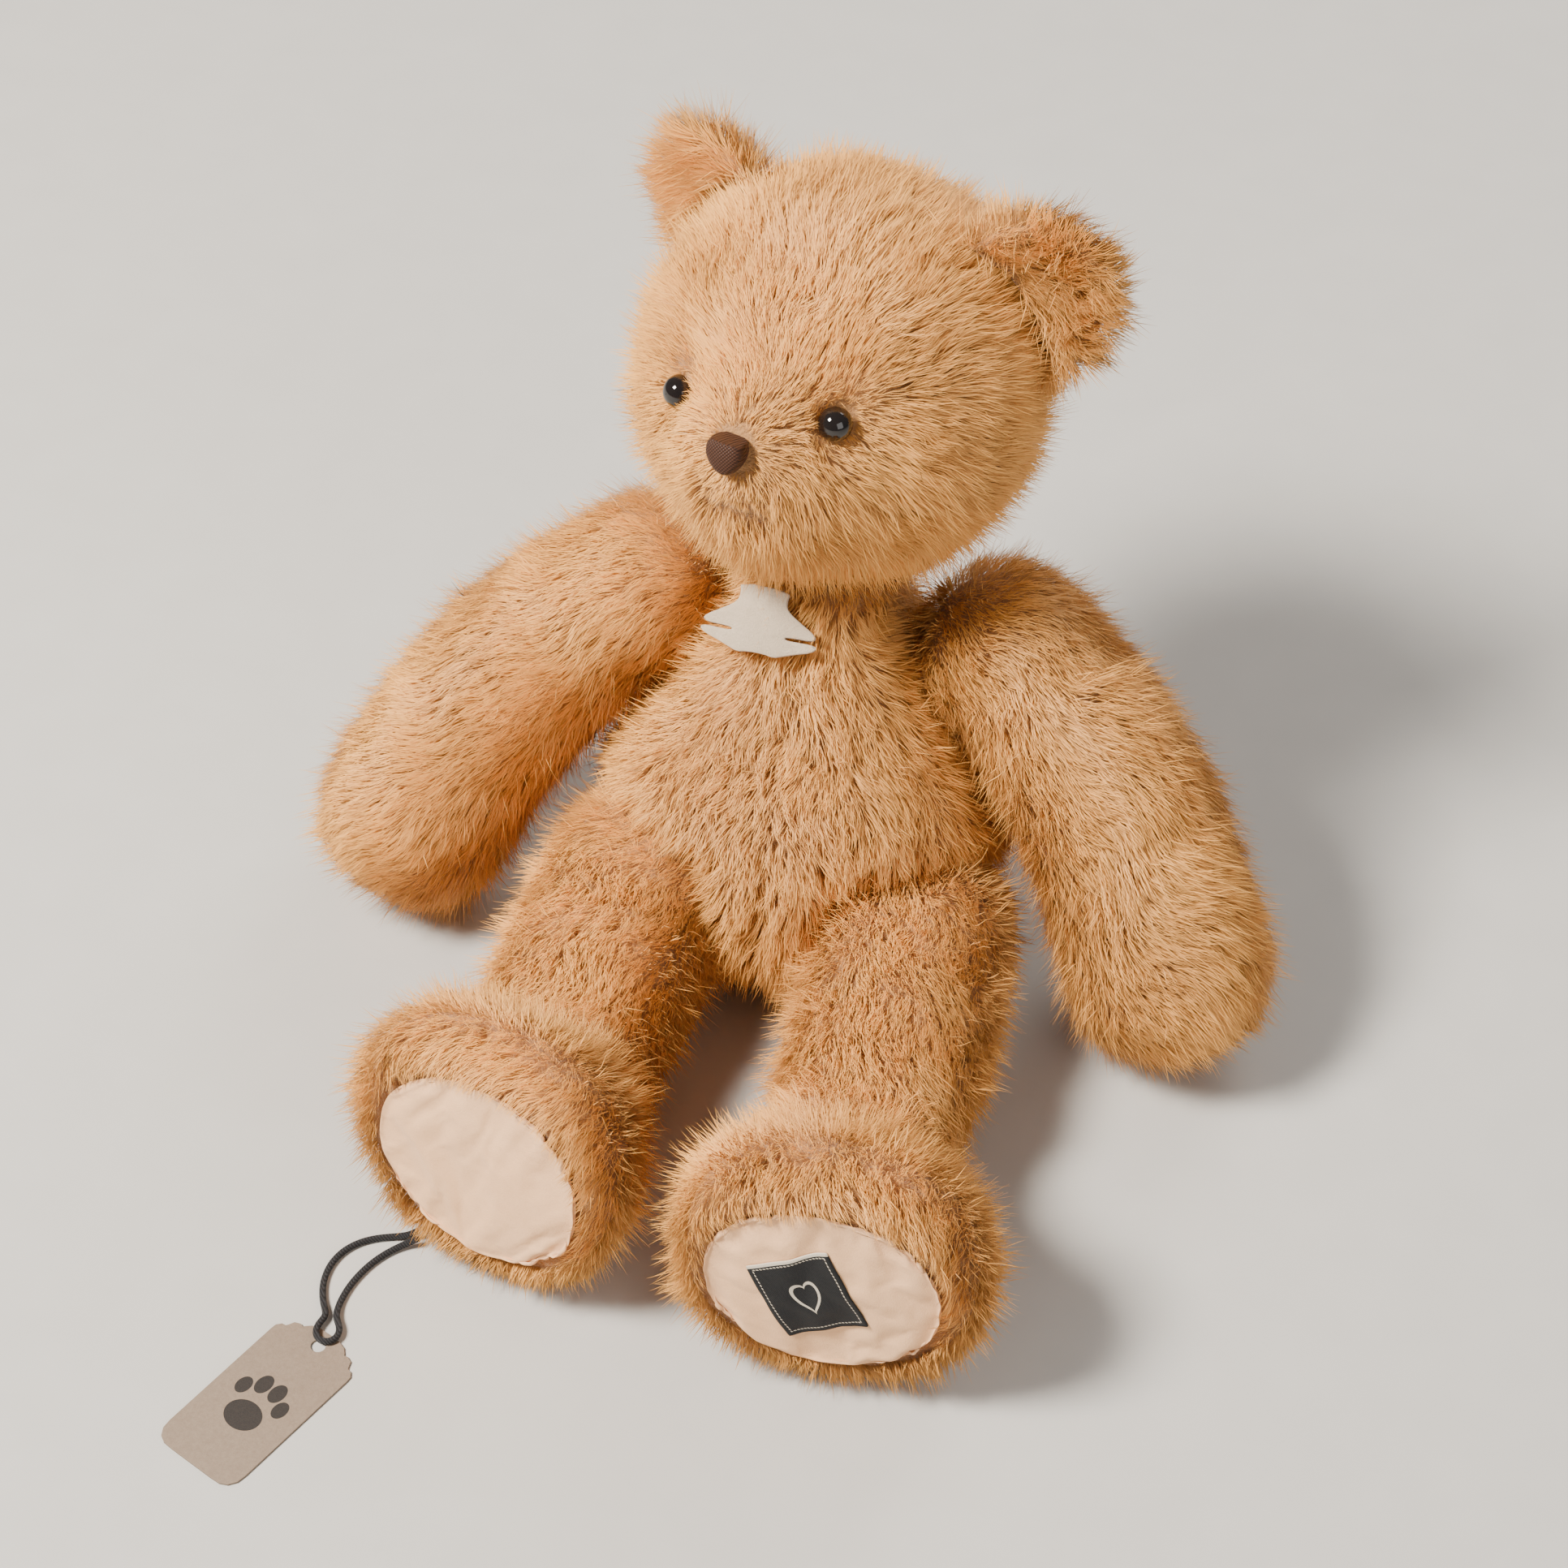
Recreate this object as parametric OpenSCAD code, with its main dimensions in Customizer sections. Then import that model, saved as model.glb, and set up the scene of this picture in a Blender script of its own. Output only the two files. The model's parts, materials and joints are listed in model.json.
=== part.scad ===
// Jointed plush teddy bear, seated. Millimetres, +Z up, the bear looks along -Y.
// The origin is on the floor, in the flat seat of the body. Soft outlines are the
// mean surface of the pile; the cloth lies pile_h below it.

/* [Body] */
// Length of the body along its spine, seat to neck
body_h = 176; // [160:1:210]
// Width at the seat
seat_w = 138; // [120:1:170]
// Width of the belly
belly_w = 158; // [130:1:190]
// Width of the chest, at the shoulders
chest_w = 112; // [100:1:135]
// Width at the neck seam
neck_w = 78; // [70:1:95]
// Depth of the belly, front to back
belly_d = 134; // [115:1:150]
// Depth of the chest, front to back
chest_d = 98; // [85:1:115]
// Depth at the neck seam
neck_d = 76; // [70:1:90]
// How far the body leans back, in degrees
lean = 16; // [12:1:20]

/* [Head] */
// Width of the head across the cheeks
head_w = 146; // [130:1:180]
// Height of the head
head_h = 148; // [130:1:180]
// Depth of the skull, forehead to back
head_d = 146; // [125:1:175]
// How far the muzzle stands out from the skull
muzzle_out = 17; // [8:1:24]
// How far the head looks to the bear's right, in degrees
head_turn = 13; // [0:1:30]
// How far the head is tipped to the bear's right, in degrees
head_tip = 5; // [0:1:10]
// Width of an ear
ear_w = 66; // [48:1:76]
// Height of an ear
ear_h = 75; // [50:1:80]
// Thickness of an ear at its rim
ear_t = 24; // [18:1:32]
// Diameter of an eye
eye_d = 12; // [9:0.5:15]
// Width of the nose
nose_w = 14; // [12:0.5:20]
// Height of the nose
nose_h = 15; // [11:0.5:18]

/* [Arms] */
// Length of an arm from its joint to the middle of the hand
arm_l = 133; // [126:1:160]
// Width of an arm at the shoulder
arm_w = 70; // [60:1:78]
// Width of the hand
hand_w = 78; // [66:1:90]
// How far the arms swing forward at rest, in degrees
arm_swing = 12; // [0:1:25]

/* [Legs] */
// Length of a leg from its joint to the sole
leg_l = 176; // [160:1:210]
// Height of the thigh
thigh_h = 72; // [62:1:78]
// Width of the thigh
thigh_w = 68; // [58:1:80]
// Width of the foot
foot_w = 116; // [100:1:124]
// Height of the foot
foot_h = 104; // [90:1:120]
// Width of the sole pad
sole_w = 84; // [70:1:92]
// Height of the sole pad
sole_h = 72; // [60:1:80]
// How far the left leg points outwards, in degrees
splay_left = 2; // [0:1:5]
// How far the right leg points outwards, in degrees
splay_right = 1; // [0:1:5]

/* [Plush] */
// Height of the pile, brushed up
pile_h = 7; // [5:0.5:9]
// Thickness of the backing cloth with its seam allowance
cloth_t = 2; // [1.5:0.5:3]
// Thickness of plush pressed flat between two parts
flat_t = 3; // [2:0.5:4]

/* [Joints] */
// Radius of a joint disc and its washer
disc_r = 17; // [14:0.5:18]
// Thickness of a joint disc
disc_t = 3; // [2:0.5:4]
// Radius of a joint stem
stem_r = 3.5; // [2.5:0.5:4.5]
// Thickness of a locking washer
lock_t = 2.5; // [2:0.5:3]
// Radius of a locking washer
lock_r = 9; // [7:0.5:11]

/* [Tags] */
// Width of the felt neck tag
felt_w = 43; // [34:1:52]
// Height of the felt neck tag
felt_h = 20; // [16:1:28]
// Length of the woven label
label_l = 36; // [28:1:40]
// Width of the woven label
label_w = 31; // [24:1:34]
// Length of the card swing tag
card_l = 68; // [60:1:80]
// Width of the card swing tag
card_w = 36; // [30:1:42]

/* [Hidden] */
// clearances
run_gap = 0.1;      // a stem in its washer, on the radius
seat_gap = 0.2;     // between stacked flat faces
soft_gap = 0.4;     // stuffing from its cover and from the hardware
body_gap = 0.5;     // between two covers at a joint
turn_gap = 1.5;     // round a limb that turns in its hollow
skin_hole = 0.6;    // a stem in plush, on the radius
// joints
neck_at = [0, 0, body_h];
head_up = 68;       // neck seam to the middle of the head
shoulder_at = [40, 10, body_h - 52];
shoulder_tilt = 32; // the shoulder faces this far upwards
hip_x = 20;
hip_y = -38;
hip_z = thigh_h / 2 + 0.5;
seat_y = -20;       // foot of the spine
seat_sink = 5;      // depth by which the round seat is pressed flat
tip = 1.5;          // stem beyond its locking washer
hollow_r = arm_w / 2 + 16;  // the body is pressed flat this far round a shoulder
hip_r = thigh_h / 2 + turn_gap;
leg_rise = 7;       // the body clears a leg lifted this far, in degrees
leg_fall = 93;      // and a leg swung down this far
plush_t = pile_h + cloth_t;
label_t = 0.8;
card_t = 0.8;
felt_t = 2;
cord_d = 2.4;
sides = 24;
big = 400;

honey = [0.86, 0.68, 0.47];
honey_deep = [0.78, 0.59, 0.39];
wadding = [0.95, 0.95, 0.93];
nylon = [0.90, 0.90, 0.88];
velour = [0.96, 0.85, 0.73];

// ---- lofted soft forms -------------------------------------------------------

// A station is [x, y, z, half size across, half size up, yaw, pitch]: the middle of a
// section, its half sizes, and how its plane is turned from the XZ plane.
function turned(v, yaw, pitch) =
    let (p = [v[0], v[1] * cos(pitch) - v[2] * sin(pitch), v[1] * sin(pitch) + v[2] * cos(pitch)])
    [p[0] * cos(yaw) - p[1] * sin(yaw), p[0] * sin(yaw) + p[1] * cos(yaw), p[2]];

// Sections are a little squarer than an ellipse
squareness = 0.88;
function fuller(v) = sign(v) * pow(abs(v), squareness);
function section(s) = [
    for (i = [0 : sides - 1])
        let (t = 360 * (i + 0.5) / sides)
        [s[0], s[1], s[2]] + turned([s[3] * fuller(cos(t)), 0, s[4] * fuller(sin(t))], s[5], s[6])
];

// A smooth run of stations through the given ones, with n steps between neighbours
function between(a, b, c, d, t) =
    (2 * b + (c - a) * t + (2 * a - 5 * b + 4 * c - d) * t * t
    + (3 * b - a - 3 * c + d) * t * t * t) / 2;
function smooth(st, n) = [
    for (i = [0 : len(st) - 2], k = [0 : n - 1])
        between(st[max(i - 1, 0)], st[i], st[i + 1], st[min(i + 2, len(st) - 1)], k / n),
    st[len(st) - 1]
];

// Every station with its half sizes made smaller by d
function inset(st, d) = [for (s = st) s - [0, 0, 0, d, d, 0, 0]];

// The rounded end beyond station s, depth deep along the direction way
function end_cap(s, way, depth, steps) = [
    for (k = [1 : steps])
        let (t = 90 * k / (steps + 1), go = way * depth * sin(t))
        [s[0] + go[0], s[1] + go[1], s[2] + go[2], s[3] * cos(t), s[4] * cos(t), s[5], s[6]]
];

function reversed(v) = [for (i = [len(v) - 1 : -1 : 0]) v[i]];

// One closed skin over a list of sections, closed by a pole or by a flat end
module skin_over(rings, pole_a, pole_b) {
    n = len(rings);
    points = concat([for (r = rings) each r], [pole_a, pole_b]);
    faces = concat(
        [for (j = [0 : n - 2], i = [0 : sides - 1])
            [j * sides + i, (j + 1) * sides + i, j * sides + (i + 1) % sides]],
        [for (j = [0 : n - 2], i = [0 : sides - 1])
            [j * sides + (i + 1) % sides, (j + 1) * sides + i, (j + 1) * sides + (i + 1) % sides]],
        [for (i = [0 : sides - 1]) [n * sides, i, (i + 1) % sides]],
        [for (i = [0 : sides - 1]) [n * sides + 1, (n - 1) * sides + (i + 1) % sides, (n - 1) * sides + i]]
    );
    polyhedron(points, faces);
}

// A form along -Y through the stations; cap_a rounds its start and cap_b its end
module form_along(st, cap_a, cap_b, steps = 3) {
    first = st[0];
    last = st[len(st) - 1];
    way_a = turned([0, 1, 0], first[5], first[6]);
    way_b = turned([0, -1, 0], last[5], last[6]);
    all = concat(
        cap_a > 0 ? reversed(end_cap(first, way_a, cap_a, steps)) : [],
        st,
        cap_b > 0 ? end_cap(last, way_b, cap_b, steps) : []
    );
    skin_over(
        [for (s = all) section(s)],
        [first[0], first[1], first[2]] + way_a * cap_a,
        [last[0], last[1], last[2]] + way_b * cap_b
    );
}

// ---- frames ------------------------------------------------------------------

// The spine's own frame: origin at its foot, +Z to the neck
module spine() {
    translate([0, seat_y, -seat_sink]) rotate([-lean, 0, 0]) children();
}

module neck() { spine() translate(neck_at) children(); }

module head() {
    neck() rotate([0, 0, -head_turn]) translate([0, 0, head_up]) rotate([0, -head_tip, 0]) children();
}

// +Z leaves the body along the hinge, and the arm lies along -Y
module shoulder_face(side) {
    on_side(side) spine() translate(shoulder_at) rotate([0, 90 - shoulder_tilt, 0]) children();
}
module shoulder(side) { shoulder_face(side) rotate([0, 0, 90 - arm_swing]) children(); }

// +Z leaves the body along the hinge, -Y runs along the leg and +X is down
module hip(side) {
    on_side(side) translate([hip_x, hip_y, hip_z])
        rotate([0, 0, side < 0 ? splay_right : splay_left]) rotate([0, 90, 0]) children();
}

// side is 1 on the bear's left and -1 on its right; pairs of values list the left first
function nth(side) = side < 0 ? 1 : 0;
module on_side(side) {
    if (side < 0) mirror([1, 0, 0]) children();
    else children();
}

// ---- body --------------------------------------------------------------------

// The spine runs along +Z, so its stations are laid on their side and stood up
function body_stations() = [
    [0, -34, 0, seat_w / 2, belly_d / 2 - 6, 0, 0],
    [0, -62, 1, belly_w / 2, belly_d / 2, 0, 0],
    [0, -96, 1, (belly_w + chest_w) / 4 + 4, (belly_d + chest_d) / 4 + 2, 0, 0],
    [0, shoulder_at[1] - shoulder_at[2] - 2, 0, chest_w / 2, chest_d / 2, 0, 0],
    [0, -body_h, 0, neck_w / 2, neck_d / 2, 0, 0]
];

// The body with its cover taken in by d; flats are taken in by f
module body_form(d, f) {
    difference() {
        spine() rotate([-90, 0, 0])
            form_along(smooth(inset(body_stations(), d), 3), 34 - d, 6);
        neck() translate([-big, -big, -f]) cube([2 * big, 2 * big, big]);
        translate([-big, -big, f - big]) cube([2 * big, 2 * big, big]);
        for (side = [1, -1]) {
            arm_hollow(side, f);
            leg_hollow(side, f);
        }
    }
}

module arm_hollow(side, f) {
    shoulder_face(side) translate([0, 0, -f]) cylinder(r = hollow_r + f, h = 90, $fn = 64);
}

// Room for the round thigh, and for the leg from lifted to hanging down
module leg_hollow(side, f) {
    room = hip_r + f;
    hip(side) translate([0, 0, -f]) {
        cylinder(r = room, h = 110, $fn = 64);
        rotate([0, 0, -leg_rise]) translate([-room, -150, 0]) cube([150, 150, 110]);
        rotate([0, 0, leg_fall - 90]) translate([0, -150, 0]) cube([150, 150 + room, 110]);
    }
}

module body_cover() {
    difference() {
        body_form(0, 0);
        body_form(plush_t, flat_t);
        neck() { stem_hole(); washer_pocket(); }
        for (side = [1, -1]) {
            shoulder_face(side) { stem_hole(); washer_pocket(); }
            hip(side) { stem_hole(); washer_pocket(); }
        }
    }
}

module left_half() { intersection() { children(); translate([0, -big, -big]) cube(2 * big); } }
module right_half() { intersection() { children(); translate([-2 * big, -big, -big]) cube(2 * big); } }

module body_plush_left() { color(honey) left_half() body_cover(); }
module body_plush_right() { color(honey) right_half() body_cover(); }

module body_stuffing() {
    color(wadding) difference() {
        body_form(plush_t + soft_gap, flat_t + soft_gap);
        neck() stack_room();
        for (side = [1, -1]) {
            shoulder_face(side) stack_room();
            hip(side) stack_room();
        }
    }
}

// ---- joint hardware, in a frame whose +Z leaves the body along the hinge ------

washer_z = -flat_t - seat_gap - disc_t;
lock_z = washer_z - seat_gap - lock_t;
disc_z = body_gap + flat_t + seat_gap;

module stem_hole() {
    translate([0, 0, -flat_t - plush_t]) cylinder(r = stem_r + skin_hole, h = flat_t + 2 * plush_t, $fn = 32);
}

// The space that a joint's washers take inside the body
module stack_room() {
    translate([0, 0, lock_z - tip - soft_gap])
        cylinder(r = disc_r + soft_gap, h = plush_t * 2 - lock_z, $fn = 48);
}

// The space that a joint disc takes inside a limb or the head
module disc_room() {
    translate([0, 0, disc_z - seat_gap])
        cylinder(r = disc_r + soft_gap, h = seat_gap + disc_t + soft_gap, $fn = 48);
}

// Where the hardware presses into a cover from inside
module washer_pocket() {
    translate([0, 0, lock_z - tip - soft_gap])
        cylinder(r = disc_r + soft_gap, h = -flat_t - lock_z + tip + soft_gap, $fn = 48);
}

module body_washer() {
    color(nylon) translate([0, 0, washer_z]) difference() {
        cylinder(r = disc_r, h = disc_t, $fn = 64);
        translate([0, 0, -1]) cylinder(r = stem_r + run_gap, h = disc_t + 2, $fn = 48);
    }
}

module joint_disc() {
    color(nylon) union() {
        translate([0, 0, disc_z]) cylinder(r = disc_r, h = disc_t, $fn = 64);
        translate([0, 0, lock_z - tip]) cylinder(r = stem_r, h = disc_z - lock_z + tip + 1, $fn = 48);
    }
}

module lock_washer() {
    color(nylon) translate([0, 0, lock_z]) difference() {
        cylinder(r = lock_r, h = lock_t, $fn = 48);
        translate([0, 0, -1]) cylinder(r = stem_r, h = lock_t + 2, $fn = 48);
    }
}

module neck_washer() { neck() body_washer(); }
module neck_disc() { neck() joint_disc(); }
module neck_lock() { neck() lock_washer(); }
module shoulder_washer_left() { shoulder_face(1) body_washer(); }
module shoulder_washer_right() { shoulder_face(-1) body_washer(); }
module shoulder_disc_left() { shoulder_face(1) joint_disc(); }
module shoulder_disc_right() { shoulder_face(-1) joint_disc(); }
module shoulder_lock_left() { shoulder_face(1) lock_washer(); }
module shoulder_lock_right() { shoulder_face(-1) lock_washer(); }
module hip_washer_left() { hip(1) body_washer(); }
module hip_washer_right() { hip(-1) body_washer(); }
module hip_disc_left() { hip(1) joint_disc(); }
module hip_disc_right() { hip(-1) joint_disc(); }
module hip_lock_left() { hip(1) lock_washer(); }
module hip_lock_right() { hip(-1) lock_washer(); }

// ---- head, in a frame at its middle, looking along -Y --------------------------

head_lon = 32;
head_lat = 16;

function bump(v, way, spread) = exp(-pow(acos(min(1, v * way / norm(way))) / spread, 2));

// Distance from the middle of the head to the pile, in the direction of unit vector v
function head_r(v) =
    1 / norm([v[0] / (head_w / 2), v[1] / (head_d / 2), v[2] / (head_h / 2)])
    + muzzle_out * bump(v, [0, -1, -0.14], 24)
    + 5 * bump(v, [0, -0.8, -0.6], 22)
    + 3 * bump([abs(v[0]), v[1], v[2]], [0.8, -0.3, -0.5], 30);

function way_to(az, el) = [sin(az) * cos(el), -cos(az) * cos(el), sin(el)];

module head_shape(d) {
    n = head_lon;
    rings = [for (j = [1 : head_lat - 1], i = [0 : n - 1])
        let (v = way_to(360 * i / n, 180 * j / head_lat - 90)) v * (head_r(v) - d)];
    foot = (head_lat - 1) * n;
    polyhedron(
        concat(rings, [[0, 0, d - head_r([0, 0, -1])], [0, 0, head_r([0, 0, 1]) - d]]),
        concat(
            [for (j = [0 : head_lat - 3], i = [0 : n - 1])
                [j * n + i, (j + 1) * n + i, j * n + (i + 1) % n]],
            [for (j = [0 : head_lat - 3], i = [0 : n - 1])
                [j * n + (i + 1) % n, (j + 1) * n + i, (j + 1) * n + (i + 1) % n]],
            [for (i = [0 : n - 1]) [foot, i, (i + 1) % n]],
            [for (i = [0 : n - 1]) [foot + 1, foot - n + (i + 1) % n, foot - n + i]]
        )
    );
}

// The head with its cover taken in by d; the flat neck is taken in by f
module head_form(d, f) {
    difference() {
        head() head_shape(d);
        neck() translate([-big, -big, body_gap + f - big]) cube([2 * big, 2 * big, big]);
    }
}

eye_az = 25;
eye_el = 7;
nose_el = 0;
gusset_w = 50;

// A frame on the cloth of the head, +Z outwards
module on_head(az, el) {
    v = way_to(az, el);
    head() translate(v * (head_r(v) - pile_h)) rotate([0, 0, az]) rotate([90 - el, 0, 0]) children();
}
module eye_place() { on_head(eye_az, eye_el) children(); }
module eye_place_right() { on_head(-eye_az, eye_el) children(); }
module nose_place() { on_head(0, nose_el) children(); }

eye_shank_r = 2.2;
eye_shank_l = plush_t + 3;

module eye() {
    color("black") union() {
        intersection() {
            translate([0, 0, 0.3]) cylinder(r = eye_d / 2 + 1, h = eye_d, $fn = 48);
            translate([0, 0, 0.5]) sphere(r = eye_d / 2, $fn = 48);
        }
        translate([0, 0, -eye_shank_l]) cylinder(r = eye_shank_r, h = eye_shank_l + 2, $fn = 32);
    }
}
module eye_washer() {
    color(nylon) translate([0, 0, -eye_shank_l + 1]) difference() {
        cylinder(r = eye_d / 2 + 1, h = 1.5, $fn = 48);
        translate([0, 0, -1]) cylinder(r = eye_shank_r, h = 4, $fn = 32);
    }
}
// Parted pile in front of an eye, and its hole through the cloth
module eye_pit() {
    cylinder(r = eye_d / 2 + 2, h = 40, $fn = 32);
    translate([0, 0, -2 * plush_t]) cylinder(r = eye_shank_r + 0.2, h = 3 * plush_t, $fn = 32);
}
module eye_room() {
    translate([0, 0, -eye_shank_l - 1]) cylinder(r = eye_d / 2 + 1 + soft_gap, h = 3 * plush_t, $fn = 32);
}

// A rounded triangle, wide at the top, standing out of the pile: [height, share of its size]
nose_rings = [[-2.5, 0.8], [0, 0.95], [3, 1], [5.4, 0.96], [6.7, 0.84], [7.3, 0.62], [7.6, 0.3]];
module nose_body(grow) {
    skin_over(
        [for (k = nose_rings) [for (i = [0 : sides - 1])
            let (t = 360 * (i + 0.5) / sides)
            [(nose_w / 2 * k[1] + grow) * cos(t) * (1 + 0.2 * sin(t)), (nose_h / 2 * k[1] + grow) * sin(t),
                k[0] + grow * (k[0] < 0 ? -1 : 1)]]],
        [0, 0, nose_rings[0][0] - grow], [0, 0, nose_rings[6][0] + 0.2 + grow]
    );
}
module nose() { color("saddlebrown") nose_place() nose_body(0); }

module head_cover() {
    difference() {
        head_form(0, 0);
        head_form(plush_t, flat_t);
        neck() { stem_hole(); disc_room(); }
        eye_place() eye_pit();
        eye_place_right() eye_pit();
        nose_place() { nose_body(seat_gap); translate([0, 0, 4]) cylinder(r = 8, h = 20, $fn = 32); }
    }
}

// The gusset runs from the nose over the crown, between two seams
module gusset_slab() {
    head() translate([-gusset_w / 2, -big, -big]) cube([gusset_w, 2 * big, 2 * big]);
}
module head_gusset() { color(honey) intersection() { head_cover(); gusset_slab(); } }
module head_side_left() {
    color(honey) intersection() {
        head_cover();
        head() translate([gusset_w / 2, -big, -big]) cube(2 * big);
    }
}
module head_side_right() {
    color(honey) intersection() {
        head_cover();
        head() translate([-2 * big - gusset_w / 2, -big, -big]) cube(2 * big);
    }
}

module head_stuffing() {
    color(wadding) difference() {
        head_form(plush_t + soft_gap, flat_t + soft_gap);
        neck() disc_room();
        eye_place() eye_room();
        eye_place_right() eye_room();
        nose_place() nose_body(1);
    }
}

// An ear: a thick round leaf, hollowed at the front
ear_cup = 0.85;
ear_tilt = 32;
ear_face = 22;
ear_out = [8, 23];    // from the cheek's width in to the ear, left and right
ear_up = [34, 44];    // above the middle of the head, left and right

module ear_leaf() {
    n = 28;
    m = 14;
    points = concat(
        [for (j = [1 : m - 1], i = [0 : n - 1])
            let (v = [sin(180 * j / m) * cos(360 * i / n), -cos(180 * j / m), sin(180 * j / m) * sin(360 * i / n)])
            [v[0] * ear_w / 2, v[1] * ear_t / 2 * (v[1] < 0 ? 1 - ear_cup * v[1] * v[1] : 1), v[2] * ear_h / 2]],
        [[0, -ear_t / 2 * (1 - ear_cup), 0], [0, ear_t / 2, 0]]
    );
    foot = (m - 1) * n;
    polyhedron(points, concat(
        [for (j = [0 : m - 3], i = [0 : n - 1]) [j * n + i, (j + 1) * n + i, j * n + (i + 1) % n]],
        [for (j = [0 : m - 3], i = [0 : n - 1])
            [j * n + (i + 1) % n, (j + 1) * n + i, (j + 1) * n + (i + 1) % n]],
        [for (i = [0 : n - 1]) [foot, i, (i + 1) % n]],
        [for (i = [0 : n - 1]) [foot + 1, foot - n + (i + 1) % n, foot - n + i]]
    ));
}

module ear(side) {
    color(honey_deep) difference() {
        head() translate([side * (head_w / 2 - ear_out[nth(side)]), 6, ear_up[nth(side)]])
            rotate([0, side * ear_tilt, 0]) rotate([0, 0, side * ear_face]) ear_leaf();
        head() head_shape(0);
    }
}
module ear_left() { ear(1); }
module ear_right() { ear(-1); }
module eye_left() { eye_place() eye(); }
module eye_right() { eye_place_right() eye(); }
module eye_washer_left() { eye_place() eye_washer(); }
module eye_washer_right() { eye_place_right() eye_washer(); }

// ---- arms, in the shoulder frame ----------------------------------------------

arm_t = 68;         // thickness of an arm, away from the body
arm_bow = 12;       // how far it bows out from the body
hand_cap = 30;

function arm_stations() = [
    [0, 0, arm_t / 2 - 2, arm_w / 2, arm_t / 2, 0, 0],
    [0, -0.30 * arm_l, arm_t / 2 + arm_bow - 1, arm_w / 2 + 1, arm_t / 2 + 1, 0, 0],
    [0, -0.65 * arm_l, arm_t / 2 + arm_bow + 2, (arm_w + hand_w) / 4 + 2, arm_t / 2 + 2, 0, 0],
    [0, -arm_l, arm_t / 2 + arm_bow - 2, hand_w / 2, arm_t / 2 + 3, 0, 0]
];

module arm_form(side, d, f) {
    difference() {
        shoulder(side) form_along(smooth(inset(arm_stations(), d), 4), arm_w / 2 - d, hand_cap - d);
        shoulder(side) translate([-big, -big, body_gap + f - big]) cube([2 * big, 2 * big, big]);
    }
}
module arm_cover(side) {
    difference() {
        arm_form(side, 0, 0);
        arm_form(side, plush_t, flat_t);
        shoulder_face(side) { stem_hole(); disc_room(); }
    }
}
// The seam between the arm's two panels runs along its edges
module arm_inner_side(side) {
    shoulder(side) translate([-big, -big, arm_t / 2 + 4 - 2 * big]) cube(2 * big);
}
module arm_outer(side) { color(honey) difference() { arm_cover(side); arm_inner_side(side); } }
module arm_inner(side) { color(honey) intersection() { arm_cover(side); arm_inner_side(side); } }
module arm_stuffing(side) {
    color(wadding) difference() {
        arm_form(side, plush_t + soft_gap, flat_t + soft_gap);
        shoulder_face(side) disc_room();
    }
}
module arm_outer_left() { arm_outer(1); }
module arm_outer_right() { arm_outer(-1); }
module arm_inner_left() { arm_inner(1); }
module arm_inner_right() { arm_inner(-1); }
module arm_stuffing_left() { arm_stuffing(1); }
module arm_stuffing_right() { arm_stuffing(-1); }

// ---- legs, in the hip frame: +X is down ----------------------------------------

function rest_x(half) = thigh_h / 2 - half;  // the section stands on the floor
sole_lean = [4, 12];  // how far each sole looks up, in degrees
sole_turn = [0, 16];  // how far each foot turns outwards, in degrees
ankle_h = 62;
ankle_w = 62;
sole_edge = 5;      // the sole's flat face is this much smaller than the foot all round
sole_in = 3;        // the flat face is cut this far inside the foot's end
toe_l = 26;         // widest part of the foot to its sole
leg_bend = 17;
foot_out = thigh_w / 2 + 5;  // middle of the foot, out from the hip's face
flat_l = 90;        // the thigh is pressed flat this far along

// The right leg is bent a little, so that it reaches less far
function reach(side) = leg_l - (side < 0 ? leg_bend : 0);
function foot_station(side, y, lift, d) =
    [rest_x(foot_h / 2), y - reach(side), foot_out, foot_h / 2 - d, foot_w / 2 - d,
        -sole_lean[nth(side)] * lift, -sole_turn[nth(side)] * lift];

function leg_stations(side) = [
    [0, 0, thigh_w / 2 - 2, thigh_h / 2, thigh_w / 2, 0, 0],
    [rest_x(thigh_h / 2 - 2), -0.32 * reach(side), thigh_w / 2, thigh_h / 2 - 2, thigh_w / 2, 0, 0],
    [rest_x(ankle_h / 2), -0.58 * reach(side), thigh_w / 2, ankle_h / 2, ankle_w / 2, 0, 0],
    foot_station(side, 4 + toe_l, 0.5, 3),
    foot_station(side, 12, 1, 0),
    foot_station(side, 0, 1, sole_edge)
];

module leg_form(side, d, f) {
    difference() {
        hip(side) form_along(smooth(inset(leg_stations(side), d), 3), thigh_h / 2 - d, 0);
        hip(side) translate([-big, -flat_l, body_gap + f - big]) cube([2 * big, 2 * big, big]);
        sole_frame(side) translate([-big, f - 2 * big, -big]) cube(2 * big);
    }
}
// On the sole: -Y looks out of it and +X is down
module sole_frame(side) {
    hip(side) translate([rest_x(foot_h / 2), sole_in - reach(side), foot_out])
        rotate([-sole_turn[nth(side)], 0, -sole_lean[nth(side)]]) children();
}
module leg_cover(side) {
    difference() {
        leg_form(side, 0, 0);
        leg_form(side, plush_t, flat_t);
        hip(side) { stem_hole(); disc_room(); }
    }
}
module leg_inner_side(side) {
    hip(side) translate([-big, -big, thigh_w / 2 + 1 - 2 * big]) cube(2 * big);
}
module leg_outer(side) { color(honey) difference() { leg_cover(side); leg_inner_side(side); } }
module leg_inner(side) { color(honey) intersection() { leg_cover(side); leg_inner_side(side); } }
module leg_stuffing(side) {
    color(wadding) difference() {
        leg_form(side, plush_t + soft_gap, flat_t + soft_gap);
        hip(side) disc_room();
    }
}
module leg_outer_left() { leg_outer(1); }
module leg_outer_right() { leg_outer(-1); }
module leg_inner_left() { leg_inner(1); }
module leg_inner_right() { leg_inner(-1); }
module leg_stuffing_left() { leg_stuffing(1); }
module leg_stuffing_right() { leg_stuffing(-1); }

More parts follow.
